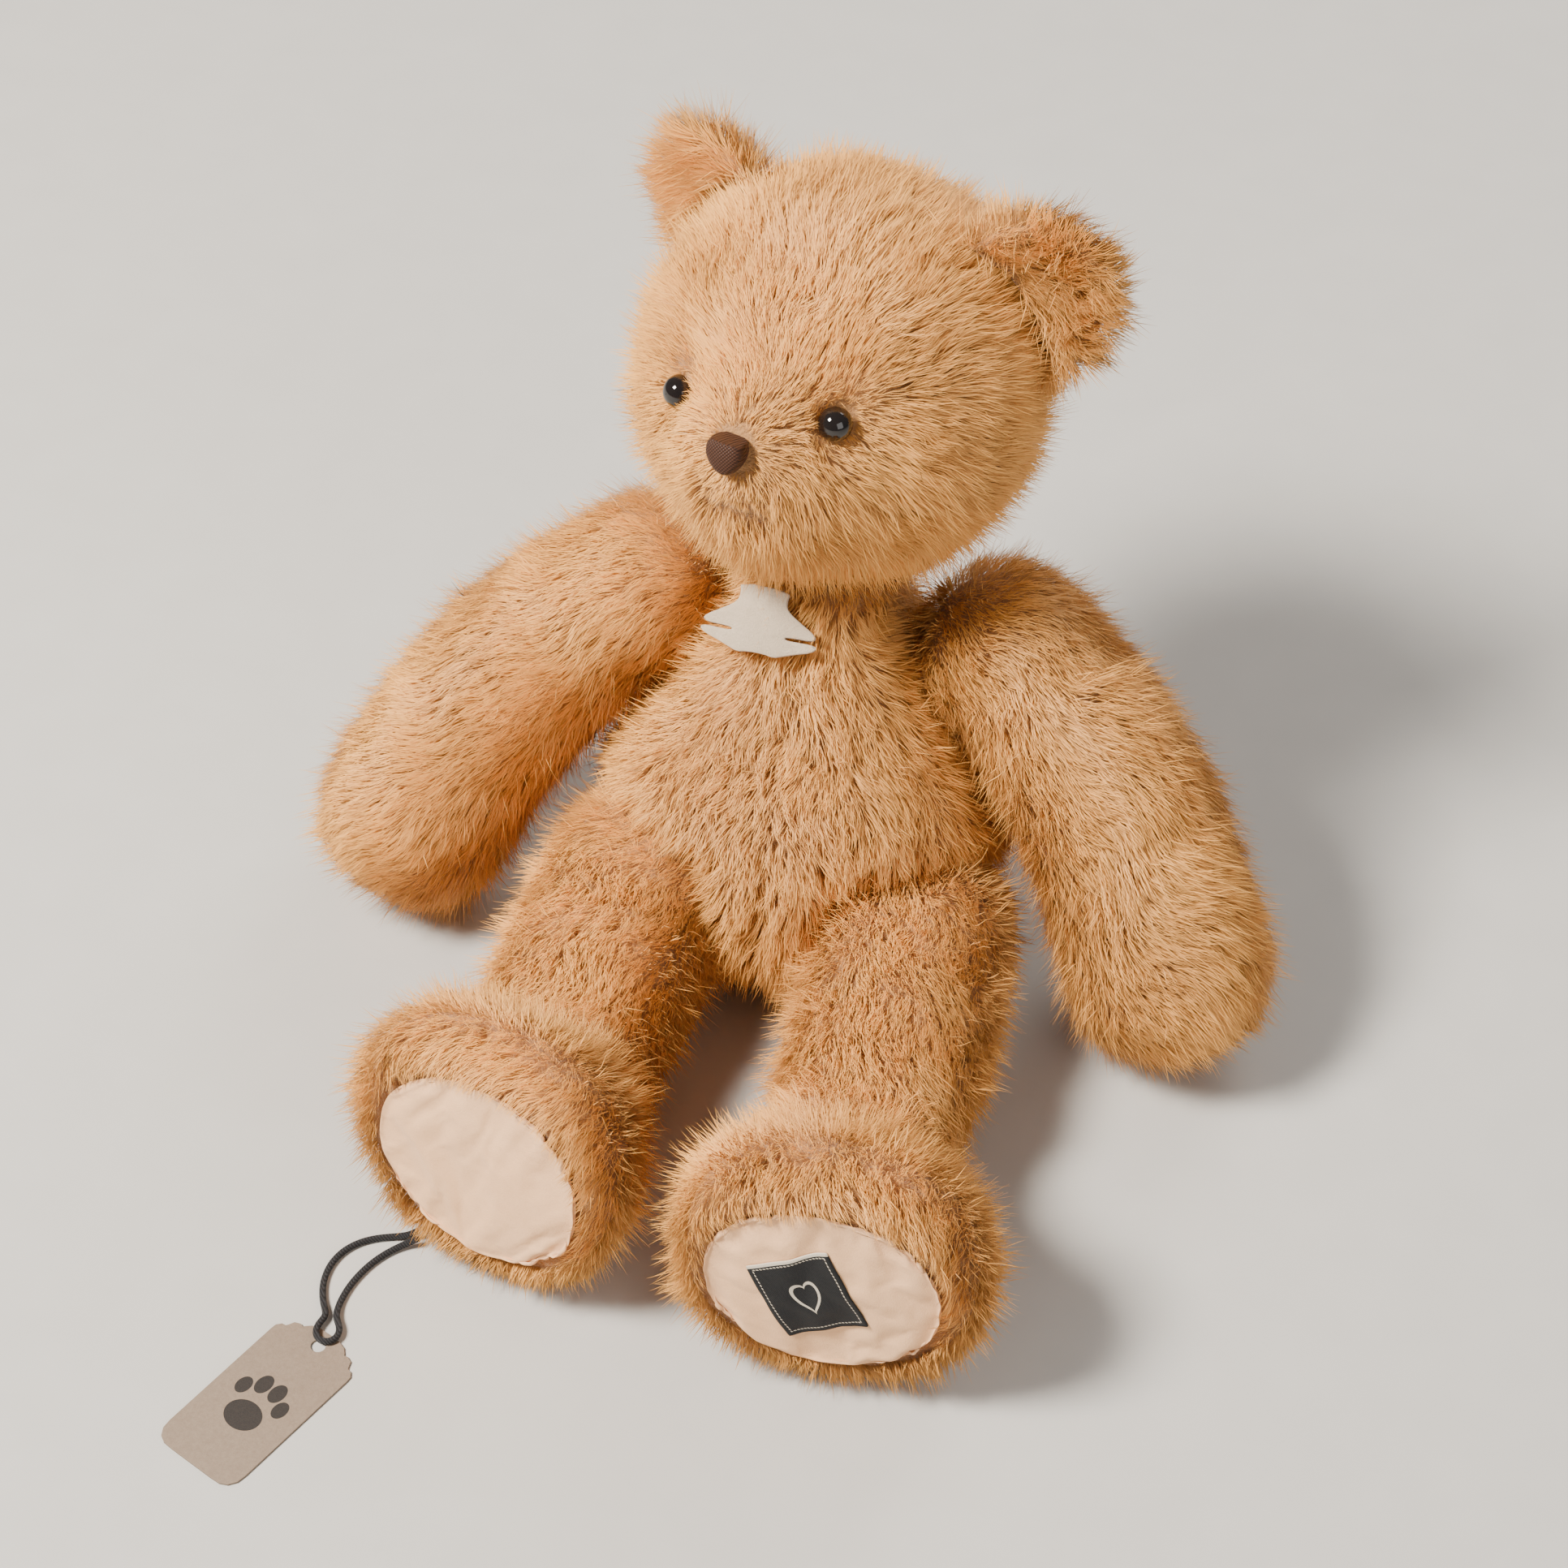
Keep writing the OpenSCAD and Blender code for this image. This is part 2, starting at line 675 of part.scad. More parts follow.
sole_dome = 6;
module sole(side) {
    color(velour) sole_frame(side)
        form_along([[0, 0, 0, sole_h / 2, sole_w / 2, 0, 0], [0, -0.5, 0, sole_h / 2, sole_w / 2, 0, 0]],
            0, sole_dome);
}
module sole_left() { sole(1); }
module sole_right() { sole(-1); }

module foot_label() {
    color("black") sole_frame(1)
        translate([0, -0.5 - sole_dome - seat_gap - label_t, -4]) rotate([0, -26, 0])
        translate([-label_l / 2, 0, -label_w / 2]) cube([label_l, label_t, label_w]);
}

// ---- tags ---------------------------------------------------------------------

// Felt tag: a strap from the neck seam and two rounded leaves, one above the other
felt_strap = 9;
felt_leaf_r = felt_h / 4;
module neck_tag() {
    color("linen") spine() translate([-12, -neck_d / 2 - 0.4, body_h - 2]) rotate([72, 0, 0]) linear_extrude(felt_t) {
        translate([-9, -felt_strap]) square([18, felt_strap]);
        for (drop = [4, 4 + 2 * felt_leaf_r])
            hull() for (side = [-1, 1])
                translate([side * (felt_w / 2 - felt_leaf_r), -drop - felt_leaf_r]) circle(r = felt_leaf_r, $fn = 32);
    }
}

card_at = [-117, -270, 0.1];
card_turn = -23;
card_hole_r = 2.6;
card_hole_in = 6;   // from the end of the card to the hole

module swing_tag() {
    color([0.45, 0.37, 0.30]) translate(card_at) rotate([0, 0, card_turn]) linear_extrude(card_t) difference() {
        hull() for (x = [-1, 1], y = [-1, 1])
            translate([x * (card_w / 2 - 6), y * (card_l / 2 - 6)]) circle(r = 6, $fn = 32);
        translate([0, card_l / 2 - card_hole_in]) circle(r = card_hole_r, $fn = 32);
    }
}

// The cord's route on the floor and over the card: [x, y, height of its middle]
cord_lie = 0.1 + cord_d / 2;
cord_up = 0.3 + card_t + cord_d / 2;
cord_route = [
    [-88.6, -190.4, 4.6], [-91, -191.2, 2.8], [-94, -192, 1.6], [-99, -193.5, cord_lie],
    [-104.5, -196, cord_lie], [-109.5, -200, cord_lie], [-113, -205.5, cord_lie],
    [-114.5, -212, cord_lie], [-114, -219, cord_lie], [-111.5, -225.5, cord_lie],
    [-109, -229.5, 1.8], [-107.5, -232.5, cord_up], [-108.6, -235.5, cord_up], [-109, -238.8, cord_up],
    [-107.5, -242, cord_up], [-104.3, -243.2, cord_up], [-101.2, -241.6, cord_up],
    [-100.4, -238.2, cord_up], [-101.6, -235, cord_up], [-103.8, -232.4, cord_up],
    [-104.8, -229, 1.8], [-105.2, -225, cord_lie], [-104.8, -219, cord_lie],
    [-103.2, -212.5, cord_lie], [-100.8, -206.5, cord_lie], [-97.5, -201, cord_lie],
    [-93.4, -196.6, 1.7], [-90.2, -194.6, 2.9], [-87.3, -193.4, 4.4]
];
cord_sides = 8;

function along(p) = p / norm(p);
function cord_ring(pts, i) =
    let (
        way = along(pts[min(i + 1, len(pts) - 1)] - pts[max(i - 1, 0)]),
        side = along(cross(way, [0, 0, 1])),
        up = cross(side, way)
    )
    [for (k = [0 : cord_sides - 1])
        let (t = 360 * k / cord_sides) pts[i] + (side * cos(t) + up * sin(t)) * cord_d / 2];

module tag_cord() {
    pts = cord_route;
    n = len(pts);
    m = cord_sides;
    color("black") polyhedron(
        [for (i = [0 : n - 1]) each cord_ring(pts, i)],
        concat(
            [for (i = [0 : n - 2], k = [0 : m - 1])
                [i * m + k, i * m + (k + 1) % m, (i + 1) * m + k]],
            [for (i = [0 : n - 2], k = [0 : m - 1])
                [i * m + (k + 1) % m, (i + 1) * m + (k + 1) % m, (i + 1) * m + k]],
            [[for (k = [0 : m - 1]) m - 1 - k], [for (k = [0 : m - 1]) (n - 1) * m + k]]
        )
    );
}

// ---- the parts ------------------------------------------------------------------

body_plush_left();
body_plush_right();
body_stuffing();
neck_washer();
shoulder_washer_left();
shoulder_washer_right();
hip_washer_left();
hip_washer_right();
neck_tag();
head_gusset();
head_side_left();
head_side_right();
head_stuffing();
ear_left();
ear_right();
eye_left();
eye_right();
eye_washer_left();
eye_washer_right();
nose();
neck_disc();
neck_lock();
arm_outer_left();
arm_inner_left();
arm_stuffing_left();
shoulder_disc_left();
shoulder_lock_left();
arm_outer_right();
arm_inner_right();
arm_stuffing_right();
shoulder_disc_right();
shoulder_lock_right();
leg_outer_left();
leg_inner_left();
leg_stuffing_left();
hip_disc_left();
hip_lock_left();
sole_left();
foot_label();
leg_outer_right();
leg_inner_right();
leg_stuffing_right();
hip_disc_right();
hip_lock_right();
sole_right();
swing_tag();
tag_cord();
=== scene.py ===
import json
import math
import bmesh
import bpy
import numpy as np
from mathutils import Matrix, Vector, kdtree
from mathutils.bvhtree import BVHTree


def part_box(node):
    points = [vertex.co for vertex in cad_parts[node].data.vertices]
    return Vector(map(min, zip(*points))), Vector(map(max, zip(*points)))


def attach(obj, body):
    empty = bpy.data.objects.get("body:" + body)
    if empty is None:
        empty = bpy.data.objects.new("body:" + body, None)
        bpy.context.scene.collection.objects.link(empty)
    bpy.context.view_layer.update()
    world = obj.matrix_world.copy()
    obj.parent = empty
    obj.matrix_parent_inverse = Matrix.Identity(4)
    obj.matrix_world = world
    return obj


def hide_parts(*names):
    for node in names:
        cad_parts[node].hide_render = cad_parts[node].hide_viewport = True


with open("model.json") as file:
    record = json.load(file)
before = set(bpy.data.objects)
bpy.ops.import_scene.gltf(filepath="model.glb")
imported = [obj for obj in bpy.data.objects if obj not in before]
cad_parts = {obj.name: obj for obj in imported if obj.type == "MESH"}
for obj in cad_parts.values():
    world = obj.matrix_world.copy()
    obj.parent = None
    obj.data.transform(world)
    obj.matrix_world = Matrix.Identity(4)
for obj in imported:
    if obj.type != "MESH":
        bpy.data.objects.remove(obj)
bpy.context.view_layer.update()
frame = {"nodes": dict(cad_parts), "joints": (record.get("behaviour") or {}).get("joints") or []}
SCENE = bpy.context.scene
MM = 0.001
SKIN_OUT = 2.4 * MM         # the backing cloth lies this far outside the filling
SKIN_VOXEL = 4 * MM
PILE_LONG = 12.5 * MM       # the pile of head, body and limbs
EAR_PILE_LONG = 15 * MM
STRAND_WIDE = 0.34 * MM
STRAND_THICK = 0.03 * MM    # between the front and the back of a strand
STRAND_SUNK = 0.4 * MM      # its root lies this deep in the skin
STRAY_SHARE = 0.12          # strands that stand out, longer and steeper
STRANDS_A_PIECE = 49000
ROOM_SEEN = 30 * MM         # a neighbour nearer than this, outwards, presses the pile
SIDE_SEEN = 4 * MM          # and nearer than this to any side
EAR_VOXEL = 2.5 * MM
NOSE_VOXEL = 0.8 * MM
ARM_FILL = 2.2 * MM
THIGH_FILL = 5 * MM
JOINTS = {j["name"]: j for j in frame["joints"]}


# ---- camera -------------------------------------------------------------------

def place_camera(azimuth=16, elevation=46, distance=1.5, aside=-0.00807, up=0.0472):
    a, e = math.radians(azimuth), math.radians(elevation)
    back = Vector((math.sin(a) * math.cos(e), -math.cos(a) * math.cos(e), math.sin(e)))
    right = Vector((math.cos(a), math.sin(a), 0))
    camera = bpy.data.objects.new("camera", bpy.data.cameras.new("camera"))
    SCENE.collection.objects.link(camera)
    camera.data.lens, camera.data.sensor_width = 90, 36
    camera.location = back * distance + right * aside + back.cross(right) * up
    camera.rotation_mode = "QUATERNION"
    camera.rotation_quaternion = (-back).to_track_quat("-Z", "Y")
    SCENE.camera = camera


# ---- shader maths ----------------------------------------------------------------

class Value:
    """A socket that takes part in sums."""

    def __init__(self, tree, socket):
        self.tree, self.socket = tree, socket

    def _sum(self, operation, a, b):
        n = self.tree.nodes.new("ShaderNodeMath")
        n.operation = operation
        for slot, v in zip(n.inputs, (a, b)):
            if isinstance(v, Value):
                self.tree.links.new(v.socket, slot)
            else:
                slot.default_value = v
        return Value(self.tree, n.outputs[0])

    def __add__(self, other): return self._sum("ADD", self, other)
    def __radd__(self, other): return self._sum("ADD", other, self)
    def __sub__(self, other): return self._sum("SUBTRACT", self, other)
    def __rsub__(self, other): return self._sum("SUBTRACT", other, self)
    def __mul__(self, other): return self._sum("MULTIPLY", self, other)
    def __rmul__(self, other): return self._sum("MULTIPLY", other, self)
    def __truediv__(self, other): return self._sum("DIVIDE", self, other)
    def __pow__(self, other): return self._sum("POWER", self, other)
    def __gt__(self, other): return self._sum("GREATER_THAN", self, other)
    def __lt__(self, other): return self._sum("LESS_THAN", self, other)
    def __abs__(self): return self._sum("ABSOLUTE", self, 0)
    def most(self, other): return self._sum("MAXIMUM", self, other)


class Finish:
    """A material with one principled shader."""

    def __init__(self, name, **constants):
        self.mat = bpy.data.materials.new(name)
        self.mat.use_nodes = True
        self.tree = self.mat.node_tree
        self.shader = self.tree.nodes["Principled BSDF"]
        for k, v in constants.items():
            self.shader.inputs[k.replace("_", " ")].default_value = v

    def make(self, kind, settings=None, out=0, **inputs):
        n = self.tree.nodes.new("ShaderNode" + kind)
        for k, v in (settings or {}).items():
            if k == "stops":
                ramp = n.color_ramp
                while len(ramp.elements) < len(v):
                    ramp.elements.new(0.5)
                for el, (at, colour) in zip(ramp.elements, v):
                    el.position, el.color = at, (*colour, 1)
            else:
                setattr(n, k, v)
        for k, v in inputs.items():
            by_number = k.startswith("in") and k[2:].isdigit()
            slot = n.inputs[int(k[2:]) if by_number else k.replace("_", " ")]
            if isinstance(v, Value):
                self.tree.links.new(v.socket, slot)
            else:
                slot.default_value = v
        return Value(self.tree, n.outputs[out])

    def mix(self, amount, a, b, how="MIX"):
        """Colours mixed; amount is a value or a number."""
        fill = lambda c: c if isinstance(c, Value) else (*c, 1)
        kind = {"data_type": "RGBA", "blend_type": how}
        return self.make("Mix", kind, 2, in0=amount, in6=fill(a), in7=fill(b))

    def place(self):
        return self.make("TexCoord", None, 3)

    def split(self, vector):
        return [self.make("SeparateXYZ", None, k, Vector=vector) for k in range(3)]

    def uv(self):
        return self.split(self.make("UVMap", {"uv_map": "OFBake"}))[:2]

    def noise(self, scale, detail=3, rough=0.5, at=None, **more):
        return self.make("TexNoise", None, 0, Vector=at or self.place(), Scale=scale, Detail=detail,
                         Roughness=rough, **more)

    def into(self, **links):
        for k, v in links.items():
            self.tree.links.new(v.socket, self.shader.inputs[k.replace("_", " ")])
        return self

    def bump(self, height, strength=0.4, distance=0.001):
        normal = self.make("Bump", None, 0, Height=height, Strength=strength, Distance=distance)
        return self.into(Normal=normal)


def fur_finish():
    f = Finish("plush_pile", Roughness=0.55, Specular_IOR_Level=0.25, Sheen_Weight=0.12,
               Sheen_Roughness=0.35, Sheen_Tint=(1, 0.7, 0.4, 1))
    tone, along = f.uv()
    # a lit and a shaded copy of the pile's colour, painted light and shade; the strand's tone mixes them, at
    # random for mottling and as painted shade where the local rules lower it
    lit = f.make("ValToRGB", {"stops": [(0, (0.48, 0.20, 0.05)), (0.25, (0.72, 0.34, 0.09)),
                                         (0.6, (0.88, 0.43, 0.11)), (1, (0.97, 0.50, 0.135))]}, Fac=along)
    deep = f.make("ValToRGB", {"stops": [(0, (0.22, 0.08, 0.02)), (0.3, (0.42, 0.17, 0.04)),
                                          (0.65, (0.62, 0.28, 0.07)), (1, (0.78, 0.38, 0.11))]}, Fac=along)
    return f.into(Base_Color=f.mix(tone, deep, lit)).mat


def ground_finish():
    """The short dense ground of the plush, under its pile."""
    f = Finish("plush_ground", Roughness=0.9, Sheen_Weight=0.2)
    fine = f.noise(900, 4)
    broad = f.noise(60, 3)
    f.into(Base_Color=f.mix(fine * 0.6 + broad * 0.4, (0.30, 0.135, 0.045), (0.52, 0.26, 0.09)))
    return f.bump(fine, 0.9, 0.002).mat


# ---- small helpers ---------------------------------------------------------------

def link(name, mesh, material, body, smooth=True):
    o = bpy.data.objects.new(name, mesh)
    SCENE.collection.objects.link(o)
    mesh.materials.clear()
    mesh.materials.append(material)
    if smooth:
        mesh.polygons.foreach_set("use_smooth", [True] * len(mesh.polygons))
    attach(o, body)
    return o


def evaluated(o):
    dg = bpy.context.evaluated_depsgraph_get()
    return bpy.data.meshes.new_from_object(o.evaluated_get(dg))


def merged(nodes, name):
    """A welded copy of CAD nodes' meshes, as one object outside the table."""
    bm = bmesh.new()
    for n in nodes:
        bm.from_mesh(frame["nodes"][n].data)
    bmesh.ops.remove_doubles(bm, verts=bm.verts, dist=1e-6)
    o = bpy.data.objects.new(name, as_mesh(bm, name))
    SCENE.collection.objects.link(o)
    return o


def keep_outer(bm):
    """Leaves only the island with the largest box."""
    bm.verts.ensure_lookup_table()
    seen, best, best_size = set(), None, -1
    for v in bm.verts:
        if v.index in seen:
            continue
        island, todo = [], [v]
        seen.add(v.index)
        while todo:
            x = todo.pop()
            island.append(x)
            for e in x.link_edges:
                y = e.other_vert(x)
                if y.index not in seen:
                    seen.add(y.index)
                    todo.append(y)
        lo = [min(x.co[k] for x in island) for k in range(3)]
        hi = [max(x.co[k] for x in island) for k in range(3)]
        size = math.dist(lo, hi)
        if size > best_size:
            best, best_size = set(x.index for x in island), size
    bmesh.ops.delete(bm, geom=[v for v in bm.verts if v.index not in best], context="VERTS")


def smoothed(bm, times):
    for _ in range(times):
        bmesh.ops.smooth_vert(bm, verts=bm.verts, factor=0.5,
                              use_axis_x=True, use_axis_y=True, use_axis_z=True)


def shell_of(nodes, name, voxel, times):
    """CAD solids joined into one soft closed shell."""
    o = merged(nodes, name + "_form")
    m = o.modifiers.new("remesh", "REMESH")
    m.mode, m.voxel_size = "VOXEL", voxel
    me = evaluated(o)
    bpy.data.objects.remove(o)
    bm = bmesh.new()
    bm.from_mesh(me)
    keep_outer(bm)
    smoothed(bm, times)
    bmesh.ops.triangulate(bm, faces=bm.faces)
    bm.normal_update()
    return bm


def as_mesh(bm, name):
    me = bpy.data.meshes.new(name)
    bm.to_mesh(me)
    bm.free()
    return me


def soft_form(nodes, name, voxel, grow, smooth=6):
    """The shell of CAD solids, its surface moved out by grow."""
    bm = shell_of(nodes, name, voxel, smooth)
    for v in bm.verts:
        v.co += v.normal * grow
    bm.normal_update()
    return as_mesh(bm, name)


def arrays(me):
    co = np.empty(len(me.vertices) * 3)
    me.vertices.foreach_get("co", co)
    no = np.empty(len(me.vertices) * 3)
    me.vertices.foreach_get("normal", no)
    tri = np.empty(len(me.polygons) * 3, int)
    me.polygons.foreach_get("vertices", tri)
    return co.reshape(-1, 3), no.reshape(-1, 3), tri.reshape(-1, 3)


def unit(v):
    return v / np.maximum(np.linalg.norm(v, axis=-1, keepdims=True), 1e-9)


def across(v, n):
    """v without its part along n, as unit vectors."""
    return unit(v - n * np.sum(v * n, axis=-1, keepdims=True))


def waves(p, scale, seed, count=3):
    """Smooth noise in -1..1 at points p; one bump is about scale wide."""
    rng = np.random.default_rng(seed)
    out = np.zeros((len(p), count))
    for k in range(count):
        for octave in range(4):
            d = unit(rng.normal(size=(1, 3)))[0]
            out[:, k] += np.sin(p @ d * (2 * math.pi / scale) * rng.uniform(0.6, 1.5) + rng.uniform(0, 6.28))
    return out / 2.2


# ---- bodies of the bear ------------------------------------------------------------

WASHERS = ["neck_washer", "shoulder_washer_left", "shoulder_washer_right",
           "hip_washer_left", "hip_washer_right", "neck_lock", "shoulder_lock_left",
           "shoulder_lock_right", "hip_lock_left", "hip_lock_right"]
# for each body, the nodes that shape its skin and the nodes that the skin replaces
FORMS = {
    "torso": (["body_stuffing"] + WASHERS, ["body_stuffing", "body_plush_left", "body_plush_right"]),
    "head": (["head_stuffing", "neck_disc", "eye_washer_left", "eye_washer_right"],
             ["head_stuffing", "head_gusset", "head_side_left", "head_side_right"]),
}
for limb, disc in (("arm", "shoulder_disc"), ("leg", "hip_disc")):
    for side in ("left", "right"):
        FORMS[f"{limb}_{side}"] = ([f"{limb}_stuffing_{side}", f"{disc}_{side}"],
                                   [f"{limb}_{part}_{side}" for part in ("stuffing", "outer", "inner")])


def middle(*nodes):
    corners = [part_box(n) for n in nodes]
    lo = np.min([c[0] for c in corners], axis=0)
    hi = np.max([c[1] for c in corners], axis=0)
    return (lo + hi) / 2


# ---- comb: which way the pile lies ---------------------------------------------------

EYES = [middle("eye_left"), middle("eye_right")]
NOSE = middle("nose")
HEAD_MID = middle("head_gusset", "head_side_left", "head_side_right")
CHEEK = unit(EYES[0] - EYES[1])  # from the right eye to the left
FACE = unit(NOSE - HEAD_MID)


def comb_head(p, n):
    """Away from the nose, and turned away from each eye near it."""
    c = across(p - NOSE, n)
    for e in EYES:
        d = p - e
        near = np.exp(-(np.linalg.norm(d, axis=1, keepdims=True) / 0.017) ** 2)
        c = unit(c * (1 - 0.7 * near) + across(d, n) * near * 0.9)
    return c


def comb_torso(p, n):
    """Down the body, parting a little from the front and back seams."""
    d = np.zeros_like(p)
    d[:, 2] = -1
    d[:, 0] = np.sign(p[:, 0]) * 0.1
    d[:, 1] = -0.15
    return across(d, n)


def comb_limb(start, end):
    def comb(p, n):
        return across(np.broadcast_to(unit(end - start), p.shape), n)
    return comb


def comb_leg(side):
    """Down to the foot, and round its edge over the sole."""
    hip = np.array(JOINTS[f"leg_swing_{side}"]["pos_m"], float)
    sole = middle(f"sole_{side}")

    def comb(p, n):
        way = unit(sole - hip)
        c = across(np.broadcast_to(way, p.shape), n)
        spread = across(p - sole, n)
        near = np.clip(1 - (np.linalg.norm(p - sole, axis=1, keepdims=True) - 0.03) / 0.035, 0, 1)
        return unit(c * (1 - 0.35 * near) + spread * 0.35 * near)
    return comb


def comb_ear(side):
    base = HEAD_MID + CHEEK * 0.05 * (1 if side == "left" else -1) + np.array([0, 0, 0.035])

    def comb(p, n):
        return across(p - base, n)
    return comb


# ---- pile ------------------------------------------------------------------------

def room_over(co, no, obstacles):
    """How far each point of a skin is from its neighbours, outwards or to any side."""
    room = np.full(len(co), ROOM_SEEN)
    for tree in obstacles:
        for i, (p, n) in enumerate(zip(co, no)):
            hit = tree.ray_cast(Vector(p) + Vector(n) * 1e-4, Vector(n), ROOM_SEEN)
            if hit[0] is not None:
                room[i] = min(room[i], hit[3])
            else:
                near = tree.find_nearest(Vector(p), SIDE_SEEN)
                if near[0] is not None:
                    room[i] = min(room[i], near[3])
    return room


def pile_on(me, comb, density, length, seed, obstacles, style):
    """Strands rooted on a skin: root, middle, tip, the skin's normal, tone and a chance value of each."""
    co, no, tri = arrays(me)
    rng = np.random.default_rng(seed)
    a, b, c = co[tri[:, 0]], co[tri[:, 1]], co[tri[:, 2]]
    area = np.linalg.norm(np.cross(b - a, c - a), axis=1) / 2
    count = int(area.sum() * 1e6 * density)
    room = room_over(co, no, obstacles)
    pick = rng.choice(len(tri), count, p=area / area.sum())
    r1, r2 = np.sqrt(rng.random(count)), rng.random(count)
    w = np.stack([1 - r1, r1 * (1 - r2), r1 * r2], 1)
    at = lambda v: np.einsum("ij,ij...->i...", w, v[tri[pick]])
    p, n, space = at(co), unit(at(no)), at(room)
    comb_dir = comb(p, n)
    side = np.cross(n, comb_dir)
    drift = waves(p, 0.035, seed + 1) * style.get("drift", 0.5)
    comb_dir = unit(comb_dir + side * drift[:, :1])
    # tufts: strands near a tuft's middle share its lean and lean towards it
    tufts = rng.choice(count, max(8, int(count / style.get("per_tuft", 16))), replace=False)
    tree = kdtree.KDTree(len(tufts))
    for k, i in enumerate(tufts):
        tree.insert(Vector(p[i]), k)
    tree.balance()
    home = np.fromiter((tree.find(q)[1] for q in p.tolist()), int, count)
    lean = rng.normal(size=(len(tufts), 3))[home] * style.get("lean", 0.12)
    tuft_tone = rng.normal(size=len(tufts))[home]
    to_home = p[tufts][home] - p
    long = length * (0.82 + 0.3 * rng.random(count)) * (1 + 0.10 * waves(p, 0.03, seed + 2, 1)[:, 0])
    stray = rng.random(count) < STRAY_SHARE
    long = np.where(stray, long * 1.3, long)
    lift = style.get("lift", 0.55) + 0.12 * waves(p, 0.022, seed + 3, 1)[:, 0] + rng.normal(size=count) * 0.07
    lift = np.where(stray, lift + 0.3, lift)
    tone, keep = np.zeros(count), np.ones(count, bool)
    if "local" in style:
        lift, long, tone, keep = style["local"](p, n, lift, long)
    # pressed flat where something lies against the skin
    free = np.clip((space - 0.0006) / (long * 0.8), 0.02, 2)
    lift = np.clip(np.minimum(lift, free), 0.03, 0.97)
    keep &= space > 0.0003
    d0 = unit(n * (lift + 0.16)[:, None] + comb_dir * np.sqrt(1 - np.minimum(lift, 0.95) ** 2)[:, None] * 0.8
              + lean * 0.6 + rng.normal(size=p.shape) * 0.10)
    d1 = unit(n * (lift - 0.12)[:, None] + comb_dir * np.sqrt(1 - np.minimum(lift, 0.95) ** 2)[:, None]
              + lean + rng.normal(size=p.shape) * 0.12)
    root = p - n * STRAND_SUNK
    mid = root + d0 * (long * 0.5)[:, None] + to_home * style.get("gather", 0.15) * 0.4
    tip = mid + d1 * (long * 0.5)[:, None] + to_home * style.get("gather", 0.15)
    for q, floor in ((mid, 0.0004), (tip, 0.0003)):
        q[:, 2] = np.maximum(q[:, 2], floor + rng.random(count) * 0.0006)
        high = np.sum((q - root) * n, axis=1)
        over = np.maximum(high - np.maximum(space - 0.0004, 0.0003), 0)
        q -= n * over[:, None]
    broad = waves(p, 0.06, seed + 4, 1)[:, 0] + 0.6 * waves(p, 0.017, seed + 5, 1)[:, 0]
    tone = np.clip(0.6 + tone + 0.16 * broad + 0.06 * tuft_tone + 0.15 * rng.normal(size=count), 0.02, 0.98)
    return [v[keep] for v in (root, mid, tip, n, tone, rng.random(count))]


def strand_mesh(name, strands, width):
    """Flat tapering strands with a front and a back, each lit as the soft pile it stands in."""
    root, mid, tip, n, tone, chance = strands
    k = len(root)
    way = unit(tip - root)
    side = unit(np.cross(way, n))
    wide = unit(side + n * (chance - 0.5)[:, None] * 1.3) * (width / 2)
    top = unit(np.cross(mid - root, wide))
    top *= np.where(np.sum(top * n, axis=1, keepdims=True) < 0, -1, 1)
    front = np.stack([root, mid - wide, mid + wide, tip], 1)
    pts = np.concatenate([front, front - top[:, None] * STRAND_THICK], axis=1)
    corners = np.array([[0, 2, 1], [1, 2, 3], [4, 5, 6], [5, 7, 6]])
    tris = (np.arange(k)[:, None, None] * 8 + corners[None]).reshape(-1, 3)
    flat = np.cross(front[:, 2] - root, front[:, 1] - root)
    turn = np.repeat(np.sum(flat * top, axis=1) < 0, 4)
    tris[turn] = tris[turn][:, ::-1]
    me = bpy.data.meshes.new(name)
    me.vertices.add(k * 8)
    me.vertices.foreach_set("co", pts.reshape(-1))
    me.loops.add(len(tris) * 3)
    me.loops.foreach_set("vertex_index", tris.reshape(-1))
    me.polygons.add(len(tris))
    me.polygons.foreach_set("loop_start", np.arange(len(tris)) * 3)
    me.polygons.foreach_set("use_smooth", np.ones(len(tris), bool))
    me.update()
    uv = me.uv_layers.new(name="OFBake")
    along = np.tile([0.02, 0.5, 0.5, 0.98], k * 2)
    uv.data.foreach_set("uv", np.stack([np.repeat(tone, 8), along], 1)[tris.reshape(-1)].reshape(-1))
    over = unit(n * 0.75 + unit(n - way * np.sum(n * way, axis=1, keepdims=True)) * 0.6)
    under = unit(n * 0.5 + across(way, n) * 0.8)
    shade = np.concatenate([np.repeat(v[:, None], 4, axis=1) for v in (over, under)], axis=1)
    me.normals_split_custom_set_from_vertices(shade.reshape(-1, 3))
    return me


def grow_pile(skin, body, comb, density, length, seed, obstacles, name, style):
    """Pile on a skin, in pieces of a limited count; density is in strands to a square millimetre."""
    strands = pile_on(skin, comb, density, length, seed, obstacles, style)
    parts = math.ceil(len(strands[0]) / STRANDS_A_PIECE)
    for k in range(parts):
        me = strand_mesh(f"{name}_{k + 1}", [v[k::parts] for v in strands], STRAND_WIDE)
        link(f"{name}_{k + 1}", me, PILE_FINISH, body)


# ---- making ------------------------------------------------------------------------

place_camera()

